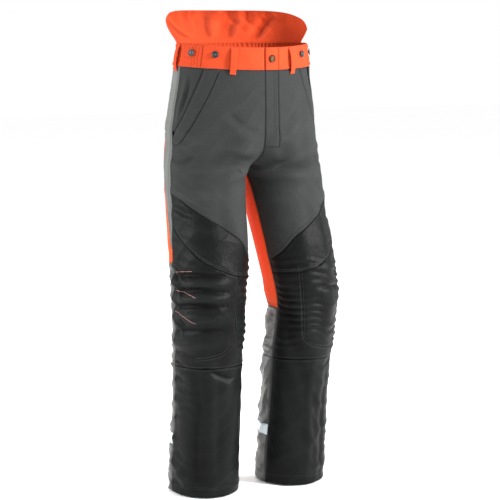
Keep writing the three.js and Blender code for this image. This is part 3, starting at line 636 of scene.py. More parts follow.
def reflective():
    """Glass-bead tape: pale, faintly metallic, with a fine grid pressed into it."""
    made, tree = blank_material("glass_bead_reflective_tape")
    place = add(tree, "ShaderNodeUVMap", uv_map="weave").outputs["UV"]
    beads = add(tree, "ShaderNodeTexVoronoi", {"Vector": place, "Scale": 700})
    tone = add(tree, "ShaderNodeTexNoise", {"Vector": place, "Scale": 30, "Detail": 4.0})
    spread = add(tree, "ShaderNodeMapRange", {"Value": tone.outputs["Fac"], "To Min": 0.0, "To Max": 0.5})
    colours = add(tree, "ShaderNodeMix", {
        0: spread.outputs["Result"], 6: linear("#dfe9ee"), 7: linear("#b4c0c6"),
    }, data_type="RGBA")
    grain = add(tree, "ShaderNodeBump", {
        "Height": beads.outputs["Distance"], "Strength": 0.4, "Distance": 0.25 * MM,
    })
    shader = add(tree, "ShaderNodeBsdfPrincipled", {
        "Base Color": colours.outputs[2], "Normal": grain.outputs["Normal"],
        "Roughness": 0.38, "Metallic": 0.25,
    })
    add(tree, "ShaderNodeOutputMaterial", {"Surface": shader.outputs["BSDF"]})
    return made


REFLECT = reflective()


def hard(name, colour, metallic, roughness, worn, scale=900.0):
    """Metal, plastic or thread: a base colour that noise shifts a little towards a worn one."""
    made, tree = blank_material(name)
    place = add(tree, "ShaderNodeTexCoord").outputs["Object"]
    rub = add(tree, "ShaderNodeTexNoise", {"Vector": place, "Scale": scale, "Detail": 4.0, "Roughness": 0.65})
    amount = add(tree, "ShaderNodeMapRange", {
        "Value": rub.outputs["Fac"], "From Min": 0.4, "From Max": 0.75, "To Min": 0.0, "To Max": 0.7,
    })
    colours = add(tree, "ShaderNodeMix", {
        0: amount.outputs["Result"], 6: linear(colour), 7: linear(worn),
    }, data_type="RGBA")
    gloss = add(tree, "ShaderNodeMapRange", {
        "Value": rub.outputs["Fac"], "To Min": roughness * 0.8, "To Max": min(1.0, roughness * 1.3),
    })
    grain = add(tree, "ShaderNodeBump", {
        "Height": rub.outputs["Fac"], "Strength": 0.25, "Distance": 0.1 * MM,
    })
    shader = add(tree, "ShaderNodeBsdfPrincipled", {
        "Base Color": colours.outputs[2], "Roughness": gloss.outputs["Result"], "Metallic": metallic,
        "Normal": grain.outputs["Normal"],
    })
    add(tree, "ShaderNodeOutputMaterial", {"Surface": shader.outputs["BSDF"]})
    return made


STEEL = hard("dark_nickel_plated_steel", "#55585a", 1.0, 0.34, "#8e9294")  # smoky, polished where touched
BRONZE = hard("antique_bronze_plate", "#2e2219", 1.0, 0.4, "#7a5c3f")  # dark brown, bright where rubbed
PLASTIC = hard("black_acetal", "#101214", 0.0, 0.42, "#2b2e31")  # deep black, slightly soft gloss
THREADS = {  # bonded polyester thread, which is smooth and catches a little light
    "black": hard("black_polyester_thread", "#0f1011", 0.0, 0.5, "#2b2c2d", 2500.0),
    "grey": hard("grey_polyester_thread", "#2a2b2c", 0.0, 0.55, "#474849", 2500.0),
    "orange": hard("orange_polyester_thread", "#c33a1e", 0.0, 0.55, "#f2734d", 2500.0),
    "pink": hard("faded_pink_thread", "#f4b4b0", 0.0, 0.6, "#dc9a96", 2500.0),
}
print("materials", len(bpy.data.materials))

# %% [markdown]
# ## Panels of cloth
#
# A sewn panel has two faces and an edge that is drawn down into the seam. It could be one face with a
# Solidify modifier. Here both faces are laid out by the same formula at two depths, which keeps the
# thickness exact and lets a panel stop anywhere. The rows and columns crowd together beside each edge,
# where the cloth turns down into its seam and puckers between the stitches. A UV map holds real lengths
# along the cloth, so the weave keeps its size.

# %% Panel maker
ROOT = bpy.context.scene.collection
sizes = {}


def crowded(length, pitch):
    """Places from 0 to 1 along a length, about pitch apart and closer beside both ends."""
    near = [x / length for x in (1.3, 2.8, 4.6) if x < length / 3]
    count = max(1, round(length * (1 - 2 * (near[-1] if near else 0)) / pitch))
    middle = np.linspace(near[-1] if near else 0, 1 - (near[-1] if near else 0), count + 1)
    return np.array([0, *near[:-1], *middle, *[1 - x for x in near[:-1][::-1]], 1]) if near else middle


def value(edge, at):
    return edge(at) if callable(edge) else np.full(np.shape(at), float(edge))


def lay_out(columns, rows, pitch, wide=HALF):
    """A grid of places between edges. columns are given as round, and rows as heights."""
    tall = [float(np.mean(value(row, np.array([0.3, 0.5, 0.7])))) for row in rows]
    halfway = np.array([(tall[0] + tall[1]) / 2])
    middle = [float(value(column, halfway)[0]) for column in columns]

    def divided(marks, scale):
        place, block = [], []
        for k, (a, b) in enumerate(zip(marks, marks[1:])):
            steps = crowded(max(abs(b - a) * scale, pitch), pitch)
            steps = steps if k == len(marks) - 2 else steps[:-1]
            place += list(steps)
            block += [k] * len(steps)
        return np.array(place), np.array(block)

    s, block_s = divided(middle, wide)
    t, block_t = divided(tall, 1)
    r = np.broadcast_to(np.array(middle)[block_s] + s * np.diff(middle)[block_s], (len(t), len(s))).copy()
    for _ in range(5):
        heights = np.stack([value(row, r) for row in rows])
        j = block_t[:, None]
        low = np.take_along_axis(heights, np.broadcast_to(j, r.shape)[None], 0)[0]
        high = np.take_along_axis(heights, np.broadcast_to(j + 1, r.shape)[None], 0)[0]
        z = mix(low, high, t[:, None])
        edges = np.stack([value(column, z) for column in columns])
        i = np.broadcast_to(block_s[None, :], r.shape)
        start = np.take_along_axis(edges, i[None], 0)[0]
        end = np.take_along_axis(edges, i[None] + 1, 0)[0]
        r = mix(start, end, s[None, :])
    return r, z, block_s, block_t


def lengths(points):
    """Lengths along the rows and down the columns of a grid of points, from its first corner."""
    across = np.linalg.norm(np.diff(points, axis=1), axis=2)
    down = np.linalg.norm(np.diff(points, axis=0), axis=2)
    u = np.concatenate([np.zeros((len(points), 1)), np.cumsum(across, axis=1)], axis=1)
    v = np.concatenate([np.zeros((1, points.shape[1])), np.cumsum(down, axis=0)], axis=0)
    return u, v


def grid_area(points, kept):
    a, b = points[1:, :-1] - points[:-1, :-1], points[:-1, 1:] - points[:-1, :-1]
    c, d = points[1:, :-1] - points[1:, 1:], points[:-1, 1:] - points[1:, 1:]
    each = np.linalg.norm(np.cross(a, b), axis=2) / 2 + np.linalg.norm(np.cross(c, d), axis=2) / 2
    return float(each[kept].sum())


def distance_to_edge(points, kept):
    """How far each point of a grid lies from the nearest open edge, in mm."""
    rows, cols = points.shape[:2]
    around = np.zeros((rows + 1, cols + 1), dtype=int)
    around[1:-1, 1:-1] = kept
    faces = around[:-1, :-1] + around[1:, :-1] + around[:-1, 1:] + around[1:, 1:]
    on_edge = (faces > 0) & (faces < 4)
    found = points[on_edge]
    tree = kdtree.KDTree(len(found))
    for k, point in enumerate(found):
        tree.insert(point, k)
    tree.balance()
    flat = points.reshape(-1, 3)
    return np.array([tree.find(point)[2] for point in flat]).reshape(rows, cols)


def mesh_from(name, points, faces, material, uv=None, smooth_faces=True, **attributes):
    mesh = bpy.data.meshes.new(name)
    mesh.from_pydata((np.asarray(points) * MM).tolist(), [], [tuple(f) for f in np.asarray(faces).tolist()])
    if uv is not None:
        layer = mesh.uv_layers.new(name="weave")
        corners = np.empty(len(mesh.loops), dtype=int)
        mesh.loops.foreach_get("vertex_index", corners)
        layer.data.foreach_set("uv", (np.asarray(uv)[corners] * MM).ravel())
    for key, values in attributes.items():
        mesh.attributes.new(key, "FLOAT", "POINT").data.foreach_set("value", np.asarray(values, dtype=float))
    mesh.polygons.foreach_set("use_smooth", [smooth_faces] * len(mesh.polygons))
    mesh.materials.append(material)
    mesh.update()
    made = bpy.data.objects.new(name, mesh)
    ROOT.objects.link(made)
    return made


def shell(name, outer, inner, kept, material, uv, flip=False, **attributes):
    """A closed skin between two grids of points, with the faces of `kept`."""
    rows, cols = outer.shape[:2]
    number = np.arange(rows * cols).reshape(rows, cols)
    quads = np.stack([number[1:, :-1], number[1:, 1:], number[:-1, 1:], number[:-1, :-1]], axis=-1)[kept]
    if flip:
        quads = quads[:, ::-1]
    pairs = np.concatenate([quads[:, [k, (k + 1) % 4]] for k in range(4)])
    total = rows * cols
    open_edges = pairs[~np.isin(pairs[:, 0] * total + pairs[:, 1], pairs[:, 1] * total + pairs[:, 0])]
    a, b = open_edges[:, 0], open_edges[:, 1]
    walls = np.stack([b, a, a + total, b + total], axis=-1)
    faces = np.concatenate([quads, quads[:, ::-1] + total, walls])
    used = np.unique(faces)
    renumber = np.zeros(2 * total, dtype=int)
    renumber[used] = np.arange(len(used))
    points = np.concatenate([outer.reshape(-1, 3), inner.reshape(-1, 3)])[used]
    uv_points = np.concatenate([uv.reshape(-1, 2)] * 2)[used]
    extra = {key: np.concatenate([a.ravel()] * 2)[used] for key, a in attributes.items()}
    return mesh_from(name, points, renumber[faces], material, uv_points, **extra)


MIDDLE_SEAM = 0.02  # how far each half stays from the middle plane along the centre seams
SEAM_DIP = 0.75  # a panel's face turns down this far into its seam


def turned_down(distance, u, z, dip=SEAM_DIP):
    """The shape of the face beside a seam: drawn in, then a slight roll, with puckers."""
    pucker = 0.28 * np.sin(2 * math.pi * (u + 1.3 * z) / 8) * window(distance, 3, 6, 3)
    return pucker - dip * (1 - smooth(distance, 0, 3.4)) + 0.3 * window(distance, 3.4, 6, 3)


def lowest_relief(side, r, z, reach=6.0):
    """The lowest the cloth in front comes within reach, for layers that have to stay behind it."""
    around = [(a * reach / HALF, b * reach) for a in (-1, 0, 1) for b in (-1, 0, 1)]
    return np.min([relief(side, np.clip(r + dr, 0, 2), z + dz) for dr, dz in around], axis=0) - 0.4


def panel(
    name, side, columns, rows, material, outer=0.0, thick=CLOTH, gone=(), pitch=3.0, dip=SEAM_DIP,
    hidden=False,
):
    """One panel of a half. gone lists the (column block, row block) pairs that are cut away."""
    r, z, block_s, block_t = lay_out(columns, rows, pitch)
    kept = np.ones((r.shape[0] - 1, r.shape[1] - 1), dtype=bool)
    for column, row in gone:
        kept[np.ix_(block_t[:-1] == row, block_s[:-1] == column)] = False
    depth = value(outer, z)
    plain = point_at(side, angle_at(r, z, depth), z, depth)
    u, v = lengths(plain)
    distance = distance_to_edge(plain, kept)
    lift = lowest_relief(side, r, z) if hidden else relief(side, r, z)
    face = depth + lift + turned_down(distance, u, z, dip)
    back = depth + lift - thick
    outside = point_at(side, angle_at(r, z, depth + lift), z, face)
    inside = point_at(side, angle_at(r, z, depth + lift), z, back)
    # above the crotch the two halves meet on the middle plane, so no light comes through their seam
    at_middle = ((r == 0) | (r == 2)) & (z > CROTCH + 3)
    outside[at_middle, 0] = inside[at_middle, 0] = side * MIDDLE_SEAM
    # seam darkens the finish along seams (dust and painted shade); fold pales the crests (wear and painted
    # highlight) and darkens the valleys (painted shade)
    made = shell(
        name,
        outside,
        inside,
        kept,
        material,
        np.stack([u, v], axis=-1),
        flip=side < 0,
        seam=1 - smooth(distance, 0.5, 4.5),
        fold=lift,
    )
    area, length = grid_area(plain, kept), float(v.max())
    sizes[name] = (max(min(u[0, -1], u[-1, -1]), area / length) * MM, length * MM, area * MM**2)
    return made


# %% [markdown]
# ## The outer panels
#
# The seams follow what a cutter would draw: a grey front down to a slanting seam, a black knee front, a
# black shin, a pale grey seat, a bright orange back of the thigh and a smooth grey calf. Each edge is a
# small formula of height or of the place round the leg, used by both panels that meet there.

# %% Seams between the panels
PANEL_TOP = -BAND_HEIGHT - SEW
POCKET_END, FLY_BOTTOM, FLY_WIDTH = -231, -236, 35
REFLECTIVE_TOP, REFLECTIVE_HEIGHT = HEM + 142, 26
MOUTH = {1: 0.085, -1: 0.006}  # the left pocket's mouth holds a zip
SIDE_GAP = 0.002
INNER_TOP = PANEL_TOP - 10
HEM_FACING, FACING_GAP, FACING_THICK = 24, 0.8, 1.2
BODY = {1: ("left", "left_shin"), -1: ("right", "right_shin")}


def grey_edge(r):
    return mix(-505, -352, 0.98 * r + 0.1 * smooth(r, 0.12, 0.34))


def patch_edge(r):
    return mix(KNEE + 80, -412, np.clip(r, 0, 1) ** 2.6)


def orange_top(r):
    return mix(-480, -215, smooth(r, 0.97, 1.24)) - 30 * smooth(r, 1.6, 2)


def orange_bottom(r):
    return mix(KNEE + 112, KNEE - 5, smooth(r, 1.03, 1.5))


def welt_seam(z):
    down = np.clip((z - PANEL_TOP) / (POCKET_END - PANEL_TOP), 0, 1.02)
    return 0.457 + 0.3 * down + 0.15 * down**4


def mouth_edge(z):
    down = np.clip((z - PANEL_TOP) / (POCKET_END + 18 - PANEL_TOP), 0, 1)
    return 0.628 + 0.3 * down + 0.06 * down**4


def lining_face(z):
    behind_pad = CLOTH + BEHIND_CLOTH + PAD + mix(LAYER, 7, smooth(z, CROTCH - 52, CROTCH + 26))
    behind_facing = CLOTH + FACING_GAP + FACING_THICK + LAYER
    return -mix(behind_facing, behind_pad, smooth(z, HEM + HEM_FACING + 6, HEM + HEM_FACING + 28))


def fly_edge(z):
    return round_at(FLY_WIDTH + SEW, np.maximum(z, FLY_BOTTOM - 30))


# %% How a piece replaces its CAD part
def finish_sheet(made, node, body, knee=None):
    """Hides the CAD part that a sheet of cloth replaces, and bakes the sheet in place or ties it to its body.
    """
    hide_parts(node)
    if knee:
        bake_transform(made)
    else:
        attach(made, body)


# %% Outer panels of both halves
for side in BOTH:
    name, shin = BODY[side]
    fly = fly_edge if side > 0 else (lambda z: np.full(np.shape(z), 0.18))
    welt_front = lambda z: welt_seam(z) - SIDE_GAP
    side_edge = 1 - SIDE_GAP
    front = panel(
        f"front_cloth_{name}", side, [0, fly, welt_front, side_edge],
        [PANEL_TOP, POCKET_END, FLY_BOTTOM, lambda r: grey_edge(r) + SEW / 2], GREY,
        gone=[(2, 0)] + ([(0, 0), (0, 1)] if side > 0 else []),
    )
    finish_sheet(front, f"front_upper_{name}", "trousers")
    welt = panel(
        f"welt_cloth_{name}", side, [lambda z: welt_seam(z) + SIDE_GAP, mouth_edge],
        [PANEL_TOP, POCKET_END + SEW], GREY, outer=0.3, pitch=2.6, dip=1.3,
    )
    finish_sheet(welt, f"pocket_welt_{name}", "trousers")
    facing = panel(
        f"facing_cloth_{name}", side, [lambda z: np.minimum(mouth_edge(z) + MOUTH[side], 0.985), side_edge],
        [PANEL_TOP, POCKET_END + 31], GREY, outer=-0.4, pitch=2.6,
    )
    finish_sheet(facing, f"pocket_facing_{name}", "trousers")
    seat = panel(
        f"seat_cloth_{name}", side, [1 + SIDE_GAP, 2], [PANEL_TOP, lambda r: orange_top(r) + STEEP_SEAM],
        BACK, pitch=3.2,
    )
    finish_sheet(seat, f"seat_{name}", "trousers")
    thigh = panel(
        f"thigh_back_cloth_{name}", side, [1 + SIDE_GAP, 2],
        [lambda r: orange_top(r) - STEEP_SEAM, orange_bottom], ORANGE_PAINTED_LIT, pitch=3.4,
    )
    finish_sheet(thigh, f"thigh_back_{name}", None, knee=shin)
    black = panel(
        f"thigh_front_cloth_{name}", side, [0, side_edge],
        [lambda r: grey_edge(r) - SEW / 2, lambda r: patch_edge(r) + SEW / 2], BLACK, pitch=2.8,
    )
    finish_sheet(black, f"thigh_front_{name}", None, knee=shin)
    patch = panel(
        f"knee_cloth_{name}", side, [0, side_edge],
        [lambda r: patch_edge(r) - SEW / 2, KNEE_END + SEW / 2], BLACK, pitch=2.4,
    )
    finish_sheet(patch, f"knee_patch_{name}", None, knee=shin)
    lower = panel(
        f"shin_cloth_{name}", side, [0, side_edge], [KNEE_END - SEW / 2, HEM], BLACK,
    )
    finish_sheet(lower, f"shin_front_{name}", shin)
    behind = panel(
        f"knee_back_cloth_{name}", side, [1 + SIDE_GAP, 2],
        [lambda r: orange_bottom(r) - SEW, KNEE_END + SEW / 2], CALF, pitch=3.2,
    )
    finish_sheet(behind, f"knee_back_{name}", None, knee=shin)
    calf = panel(
        f"calf_cloth_{name}", side, [1 + SIDE_GAP, 2], [KNEE_END - SEW / 2, HEM], CALF, pitch=3.2,
    )
    finish_sheet(calf, f"calf_{name}", shin)
    stripe = panel(
        f"reflective_tape_{name}", side, [1 + SIDE_GAP, 2],
        [REFLECTIVE_TOP, REFLECTIVE_TOP - REFLECTIVE_HEIGHT], REFLECT,
        outer=CLOTH / 2 + 1.5 * SEW, thick=CLOTH / 2, dip=0.35, pitch=3.2,
    )
    finish_sheet(stripe, f"reflective_band_{name}", shin)

# %% [markdown]
# ## Inside the legs
#
# The layers that stop a chain are long loose fibres between the outer cloth and the lining. A running
# chain pulls them out and jams. They hide in the real garment too, but the lining shows at the waist
# and the hem. All follow the outer folds, a few millimetres further in.

# %% Inner layers
def lining_edge(z):
    """The lining's front edge, which keeps clear of the fly."""
    return mix(0.1, round_at(FLY_WIDTH + 8, np.maximum(z, -270)), smooth(z, FLY_BOTTOM - 50, FLY_BOTTOM - 10))


for side in BOTH:
    name, shin = BODY[side]
    pad = panel(
        f"fibre_pad_{name}", side, [0.2, 1.1],
        [lambda r: mix(INNER_TOP, POCKET_END - 24, smooth(r, 0.3, 0.62)), HEM + HEM_FACING + 30],
        FIBRE, outer=-CLOTH - BEHIND_CLOTH, thick=PAD, pitch=6, dip=1.2, hidden=True,
    )
    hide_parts(f"cut_pad_{name}")
    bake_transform(pad)
    lining = panel(
        f"lining_cloth_{name}", side,
        [lining_edge, 1.9],
        [INNER_TOP, HEM + 2 * SEW], LINED, outer=lining_face, thick=LINING, pitch=6, dip=0.2, hidden=True,
    )
    finish_sheet(lining, f"lining_{name}", None, knee=shin)
    bag = panel(
        f"pocket_bag_cloth_{name}", side, [0.4, 1], [INNER_TOP, POCKET_END - 60], LINED,
        outer=lambda z: lining_face(z) - LINING - LAYER, thick=LINING, pitch=6, dip=0.2, hidden=True,
    )
    finish_sheet(bag, f"pocket_bag_{name}", "trousers")
    hem = panel(
        f"hem_facing_cloth_{name}", side, [0.02, 1, 1.98], [HEM + HEM_FACING, HEM + SEW], BLACK,
        outer=-CLOTH - FACING_GAP, thick=FACING_THICK, pitch=4, dip=0.2, hidden=True,
    )
    finish_sheet(hem, f"hem_facing_{name}", shin)

# %% [markdown]
# ## Frames on the surface
#
# Buttons, loops and zips are small hard pieces that sit on curved cloth. Each is made flat about its own
# centre, where its sizes are easy to read, and then carried to its place by a frame: X runs round the
# body, Y points in and Z up, so that the outside is -Y, as at the front.

# %% Frames
def unit(vector):
    return vector / np.linalg.norm(vector)


def frame_of(along, inwards, up, at):
    made = np.eye(4)
    made[:3, 0], made[:3, 1], made[:3, 2], made[:3, 3] = along, inwards, up, at
    return made


def place_at(side, angle, z, offset):
    along = side * (point_at(side, angle + 1, z, offset) - point_at(side, angle - 1, z, offset))
    up = unit(point_at(side, angle, z + 2, offset) - point_at(side, angle, z - 2, offset))
    inwards = unit(np.cross(up, unit(along)))
    return frame_of(np.cross(inwards, up), inwards, up, point_at(side, angle, z, offset))


def between(low, high):
    up = unit(high[:3, 3] - low[:3, 3])
    across = unit(np.cross(low[:3, 1] + high[:3, 1], up))
    return frame_of(across, np.cross(up, across), up, (low[:3, 3] + high[:3, 3]) / 2)


def carried(place, points):
    return np.asarray(points, dtype=float) @ place[:3, :3].T + place[:3, 3]


# %% [markdown]
# ## Waistband and kidney panel
#
# The band is a folded strip of orange cloth. Its back half holds wide elastic, so there the cloth gathers
# into small upright pleats between lines of sewing. Above it the back rises to keep the kidneys warm. It
# stands free, so it flares and rolls in soft upright folds. Both are strips round the waist by angle.

# %% Waist strips
ELASTIC = 55  # degrees from the front where the elastic begins
HINGE_ANGLE = math.degrees(math.asin(FLY_WIDTH / WAIST_HALF_WIDTH))
BAND_GAP = math.degrees(SEW / WAIST_HALF_WIDTH)
TAB_END, BAND_PROUD, BAND_THICK = 0.6, 1, 3
UNDER_TAB = BAND_PROUD - BAND_THICK - SEW
KIDNEY_HEIGHT, KIDNEY_FLARE, KIDNEY_END = 76, 24, 93
KIDNEY_CURL = math.radians(130)  # it stands furthest out below its top edge, which curls in again
ROUND_WAIST = 2.4  # mm of band to a degree


def band_relief(angle, z):
    """Pleats of the elastic at the back, and a slight wave in front."""
    s = angle * ROUND_WAIST
    turn = np.abs(angle - 360 * np.round(angle / 360))
    elastic = smooth(turn, ELASTIC - 1, ELASTIC + 6)
    pleat = 1 - np.abs(np.sin(math.pi * (s + 1.6 * np.sin(s / 9.3) + 1.2 * np.sin(z / 9 + s / 17)) / 9))
    channel = 0.35 + 0.65 * np.abs(np.sin(math.pi * (z + 1) / 13))
    wave = 0.5 * np.sin(s / 21 + 0.6) + 0.25 * np.sin(s / 8 + z / 14)
    return elastic * (2.8 * pleat**1.2 * channel - 1.0) + (1 - elastic) * wave


def kidney_relief(angle, z):
    """Upright rolls that grow towards the free edge, and two long slanting folds."""
    s = (angle - 180) * ROUND_WAIST
    up = smooth(z, 0, 60)
    lift = 6.0 * up * rolls(s, z, 46, 82, 1.4) + 3.2 * up * rolls(s, z, 27, 68, 3.0)
    for height, width, start, end in [
        (6.0, 8, (50, 4), (130, 62)), (-5.0, 6, (72, 2), (150, 52)), (5.0, 8, (-60, 8), (-95, 64)),
        (-5.0, 6, (-78, 2), (-112, 60)), (5.0, 9, (5, 10), (-20, 66)), (-4.0, 7, (-20, 6), (-40, 50)),
        (-4.0, 6, (24, 4), (20, 58)),
    ]:
        distance, where = near_path([(start[0] / HALF, start[1]), (end[0] / HALF, end[1])], s, z)
        fading = np.sqrt(np.sin(math.pi * np.clip(where, 0.05, 0.9)))
        lift += height * fading * np.exp(-((distance / width) ** 2))
    return lift * smooth(z, 1, 22)


def strip_point(angle, z, offset):
    upright = mix(WAIST_HALF_WIDTH / station(z, 3), 1, smooth(np.abs(angle), 15, 50))
    return point_at(1, angle * upright, z, offset)


def strip(name, start, end, top, bottom, outer, thick, lift_of, pitch=2.4, hole=None):
    """A strip round the waist between two angles. hole is (angle, height, radius)."""
    s = mix(start, end, crowded(abs(end - start) * ROUND_WAIST, pitch))
    t = crowded(float(np.mean(value(top, s)) - value(bottom, s).mean()), pitch)
    angle, share = np.meshgrid(s, t)
    z = mix(value(top, angle), value(bottom, angle), share)
    if hole:
        across, up = (angle - hole[0]) * ROUND_WAIST * 1.16, z - hole[1]
        away = np.hypot(across, up)
        push = np.where(np.abs(away - hole[2]) < 0.62 * pitch, hole[2] / np.maximum(away, 0.1), 1)
        angle = hole[0] + across * push / (ROUND_WAIST * 1.16)
        z = hole[1] + up * push
    lift = lift_of(angle, z)
    depth = outer(angle, z)
    plain = strip_point(angle, z, depth)
    kept = np.ones((len(t) - 1, len(s) - 1), dtype=bool)
    if hole:
        clear = np.hypot((angle - hole[0]) * ROUND_WAIST * 1.16, z - hole[1]) > hole[2] - 0.05
        kept = clear[1:, 1:] & clear[1:, :-1] & clear[:-1, 1:] & clear[:-1, :-1]
    u, v = lengths(plain)
    distance = distance_to_edge(plain, kept)
    face = strip_point(angle, z, depth + lift + turned_down(distance, u, z, 0.8 if thick > 2 else 0.5))
    # fold is doubled on the band and kidney panel, so their crests take more wear and painted highlight and
    # their valleys more painted shade; seam darkens their edges with dust and painted shade
    made = shell(
        name, face, strip_point(angle, z, depth + lift - thick), kept, ORANGE, np.stack([u, v], axis=-1),
        flip=False, seam=1 - smooth(distance, 0.3, 3.2), fold=lift * 2,
    )
    area = grid_area(plain, kept)
    length = float(v.max())
    sizes[name] = (max(u[0, -1], u[-1, -1], area / length) * MM, length * MM, area * MM**2)
    return made


def flat_band(angle, z):
    return np.full(np.shape(angle), float(BAND_PROUD))


STUD_ANGLE, STUD_HEIGHT, BUTTONHOLE = 6.5, -26, 8.7
bands = [
    ("waistband_left", "trousers", HINGE_ANGLE + BAND_GAP, ELASTIC - BAND_GAP, "hung", flat_band, None),
    ("waistband_back", "trousers", ELASTIC, 360 - ELASTIC, "gathered", flat_band, None),
    ("waistband_right", "trousers", BAND_GAP - ELASTIC, -TAB_END, "hung", flat_band, None),
    (
        "waist_tab", "fly_flap", TAB_END, HINGE_ANGLE - BAND_GAP / 2, "hung", flat_band,
        (STUD_ANGLE, STUD_HEIGHT, BUTTONHOLE),
    ),
]
for node, body, start, end, held, outer, hole in bands:
    made = strip(
        node.replace("waist", "cloth_waist"), start, end, 0, -BAND_HEIGHT, outer, BAND_THICK, band_relief,
        pitch=1.3 if hole else 2.2, hole=hole,
    )
    if node == "waistband_right":  # behind the tab the right band steps down and carries the button
        under = strip(
            "cloth_waistband_under", 0.1, HINGE_ANGLE - 1.5, -0.3, 0.3 - BAND_HEIGHT,
            lambda angle, z: np.full(np.shape(angle), float(UNDER_TAB)), BAND_THICK - 0.6,
            lambda angle, z: 0 * angle,
        )
        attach(under, "trousers")
        width, length, area = sizes[under.name]
    finish_sheet(made, node, body)


def kidney_top(angle):
    return KIDNEY_HEIGHT * (1 - 0.6 * np.abs((angle - 180) / (180 - KIDNEY_END)) ** 5)


def kidney_flare(angle, z):
    return KIDNEY_FLARE * np.sin(KIDNEY_CURL * np.clip(z, 0, KIDNEY_HEIGHT) / KIDNEY_HEIGHT) ** 1.2


kidney = strip(
    "cloth_kidney_panel", KIDNEY_END, 360 - KIDNEY_END, kidney_top, -4, kidney_flare, CLOTH, kidney_relief,
)
finish_sheet(kidney, "kidney_panel", "trousers")

# %% [markdown]
# ## Fly
#
# The fly's flap is a strip of the left front that swings away from the J-shaped sewing. Under it a zip
# closes the middle, with a shield of cloth behind. The flap shares the folds of the panel round it.

# %% Fly flap and shield
fly = panel(
    "cloth_fly_placket", 1, [0, lambda z: round_at(FLY_WIDTH, z)], [PANEL_TOP, FLY_BOTTOM], GREY, pitch=2.2,
)
finish_sheet(fly, "fly_placket", "fly_flap")


def end_on(angle, z, depth):
    return place_at(1, float(angle), z, -depth)


def on_fly(z):
    return end_on(angle_at(round_at(FLY_WIDTH / 2, z), z, 0), z, 7.2)


def on_pocket(z):
    return end_on(angle_at(mouth_edge(z) + MOUTH[1] / 2, z, 0), z, 5.4)


FLY_ENDS = [on_fly(FLY_BOTTOM + 20), on_fly(-BAND_HEIGHT / 2 - 6)]
POCKET_ENDS = [on_pocket(-186), on_pocket(PANEL_TOP - 6)]
ZIPS = {"fly_zip": FLY_ENDS, "pocket_zip": POCKET_ENDS}


def flat_piece(name, place, left, right, low, high, depth, thick, material, pitch=3.0):
    """A flat strip of cloth in a frame, with its outer face at depth."""
    x = mix(left, right, crowded(right - left, min(pitch, (right - left) / 3)))
    z = mix(high, low, crowded(high - low, pitch))
    x, z = np.meshgrid(x, z)
    outer = carried(place, np.stack([x, 0 * x + depth, z], axis=-1))
    inner = carried(place, np.stack([x, 0 * x + depth + thick, z], axis=-1))
    kept = np.ones((x.shape[0] - 1, x.shape[1] - 1), dtype=bool)
    u, v = lengths(outer)
    sizes[name] = ((right - left) * MM, (high - low) * MM, (right - left) * (high - low) * MM**2)
    flat = 0 * x
    return shell(name, outer, inner, kept, material, np.stack([u, v], axis=-1), seam=flat, fold=flat)


fly_place = between(*FLY_ENDS)
fly_half = math.dist(FLY_ENDS[0][:3, 3], FLY_ENDS[1][:3, 3]) / 2
shield = flat_piece(
    "cloth_fly_shield", fly_place, -FLY_WIDTH / 2 - 6, FLY_WIDTH / 2 - 2, -fly_half, fly_half, 2.9, 1.2, GREY,
)
finish_sheet(shield, "fly_shield", "trousers")

# %% [markdown]
# ## What repeats: stitches and zip teeth
#
# A stitch is a short thread that dives into the cloth at both ends. There are thousands, so one is made
# and Geometry Nodes puts it along every sewn line: the line is divided at the stitch length, a bead of
# thread is put at each place and turned along the line, and the copies are made real. Zip teeth are made
# in the same way. Copying them with a loop would work too, but then their spacing is fixed in the mesh.

# %% Node groups for stitches and teeth
def socket_named(tree, name):
    return next(s.identifier for s in tree.interface.items_tree if s.item_type == "SOCKET" and s.name == name)


def row_tree(name, teeth):
    """Puts a bead of thread, or a tooth, at every Pitch along a line."""
    tree = bpy.data.node_groups.new(name, "GeometryNodeTree")
    tree.interface.new_socket("Geometry", in_out="INPUT", socket_type="NodeSocketGeometry")
    for label in ("Pitch", "Length", "Width", "Height"):
        tree.interface.new_socket(label, in_out="INPUT", socket_type="NodeSocketFloat")
    tree.interface.new_socket("Finish", in_out="INPUT", socket_type="NodeSocketMaterial")
    tree.interface.new_socket("Geometry", in_out="OUTPUT", socket_type="NodeSocketGeometry")
    given = add(tree, "NodeGroupInput").outputs
    places = add(
        tree, "GeometryNodeResampleCurve", {"Curve": given["Geometry"], "Length": given["Pitch"]},
        mode="LENGTH",
    )
    size = add(tree, "ShaderNodeCombineXYZ", {
        "X": given["Length"], "Y": given["Width"], "Z": given["Height"],
    })
    if teeth:
        piece = add(tree, "GeometryNodeMeshCube", {"Size": size.outputs["Vector"]}).outputs["Mesh"]
    else:
        bead = add(tree, "GeometryNodeMeshIcoSphere", {"Radius": 0.5, "Subdivisions": 1})
        piece = add(tree, "GeometryNodeTransform", {
            "Geometry": bead.outputs["Mesh"], "Scale": size.outputs["Vector"],
        }).outputs["Geometry"]
    turn = add(tree, "FunctionNodeAlignRotationToVector", {
        "Vector": add(tree, "GeometryNodeInputTangent").outputs["Tangent"],
    }, axis="X")
    copies = add(tree, "GeometryNodeInstanceOnPoints", {
        "Points": places.outputs["Curve"], "Instance": piece, "Rotation": turn.outputs["Rotation"],
    })
    real = add(tree, "GeometryNodeRealizeInstances", {"Geometry": copies.outputs["Instances"]})
    shaded = add(tree, "GeometryNodeSetShadeSmooth", {
        "Geometry": real.outputs["Geometry"], "Shade Smooth": not teeth,
    })
    painted = add(tree, "GeometryNodeSetMaterial", {
        "Geometry": shaded.outputs["Geometry"], "Material": given["Finish"],
    })
    add(tree, "NodeGroupOutput", {"Geometry": painted.outputs["Geometry"]})
    return tree


STITCHES, TEETH = row_tree("row_of_stitches", False), row_tree("row_of_teeth", True)


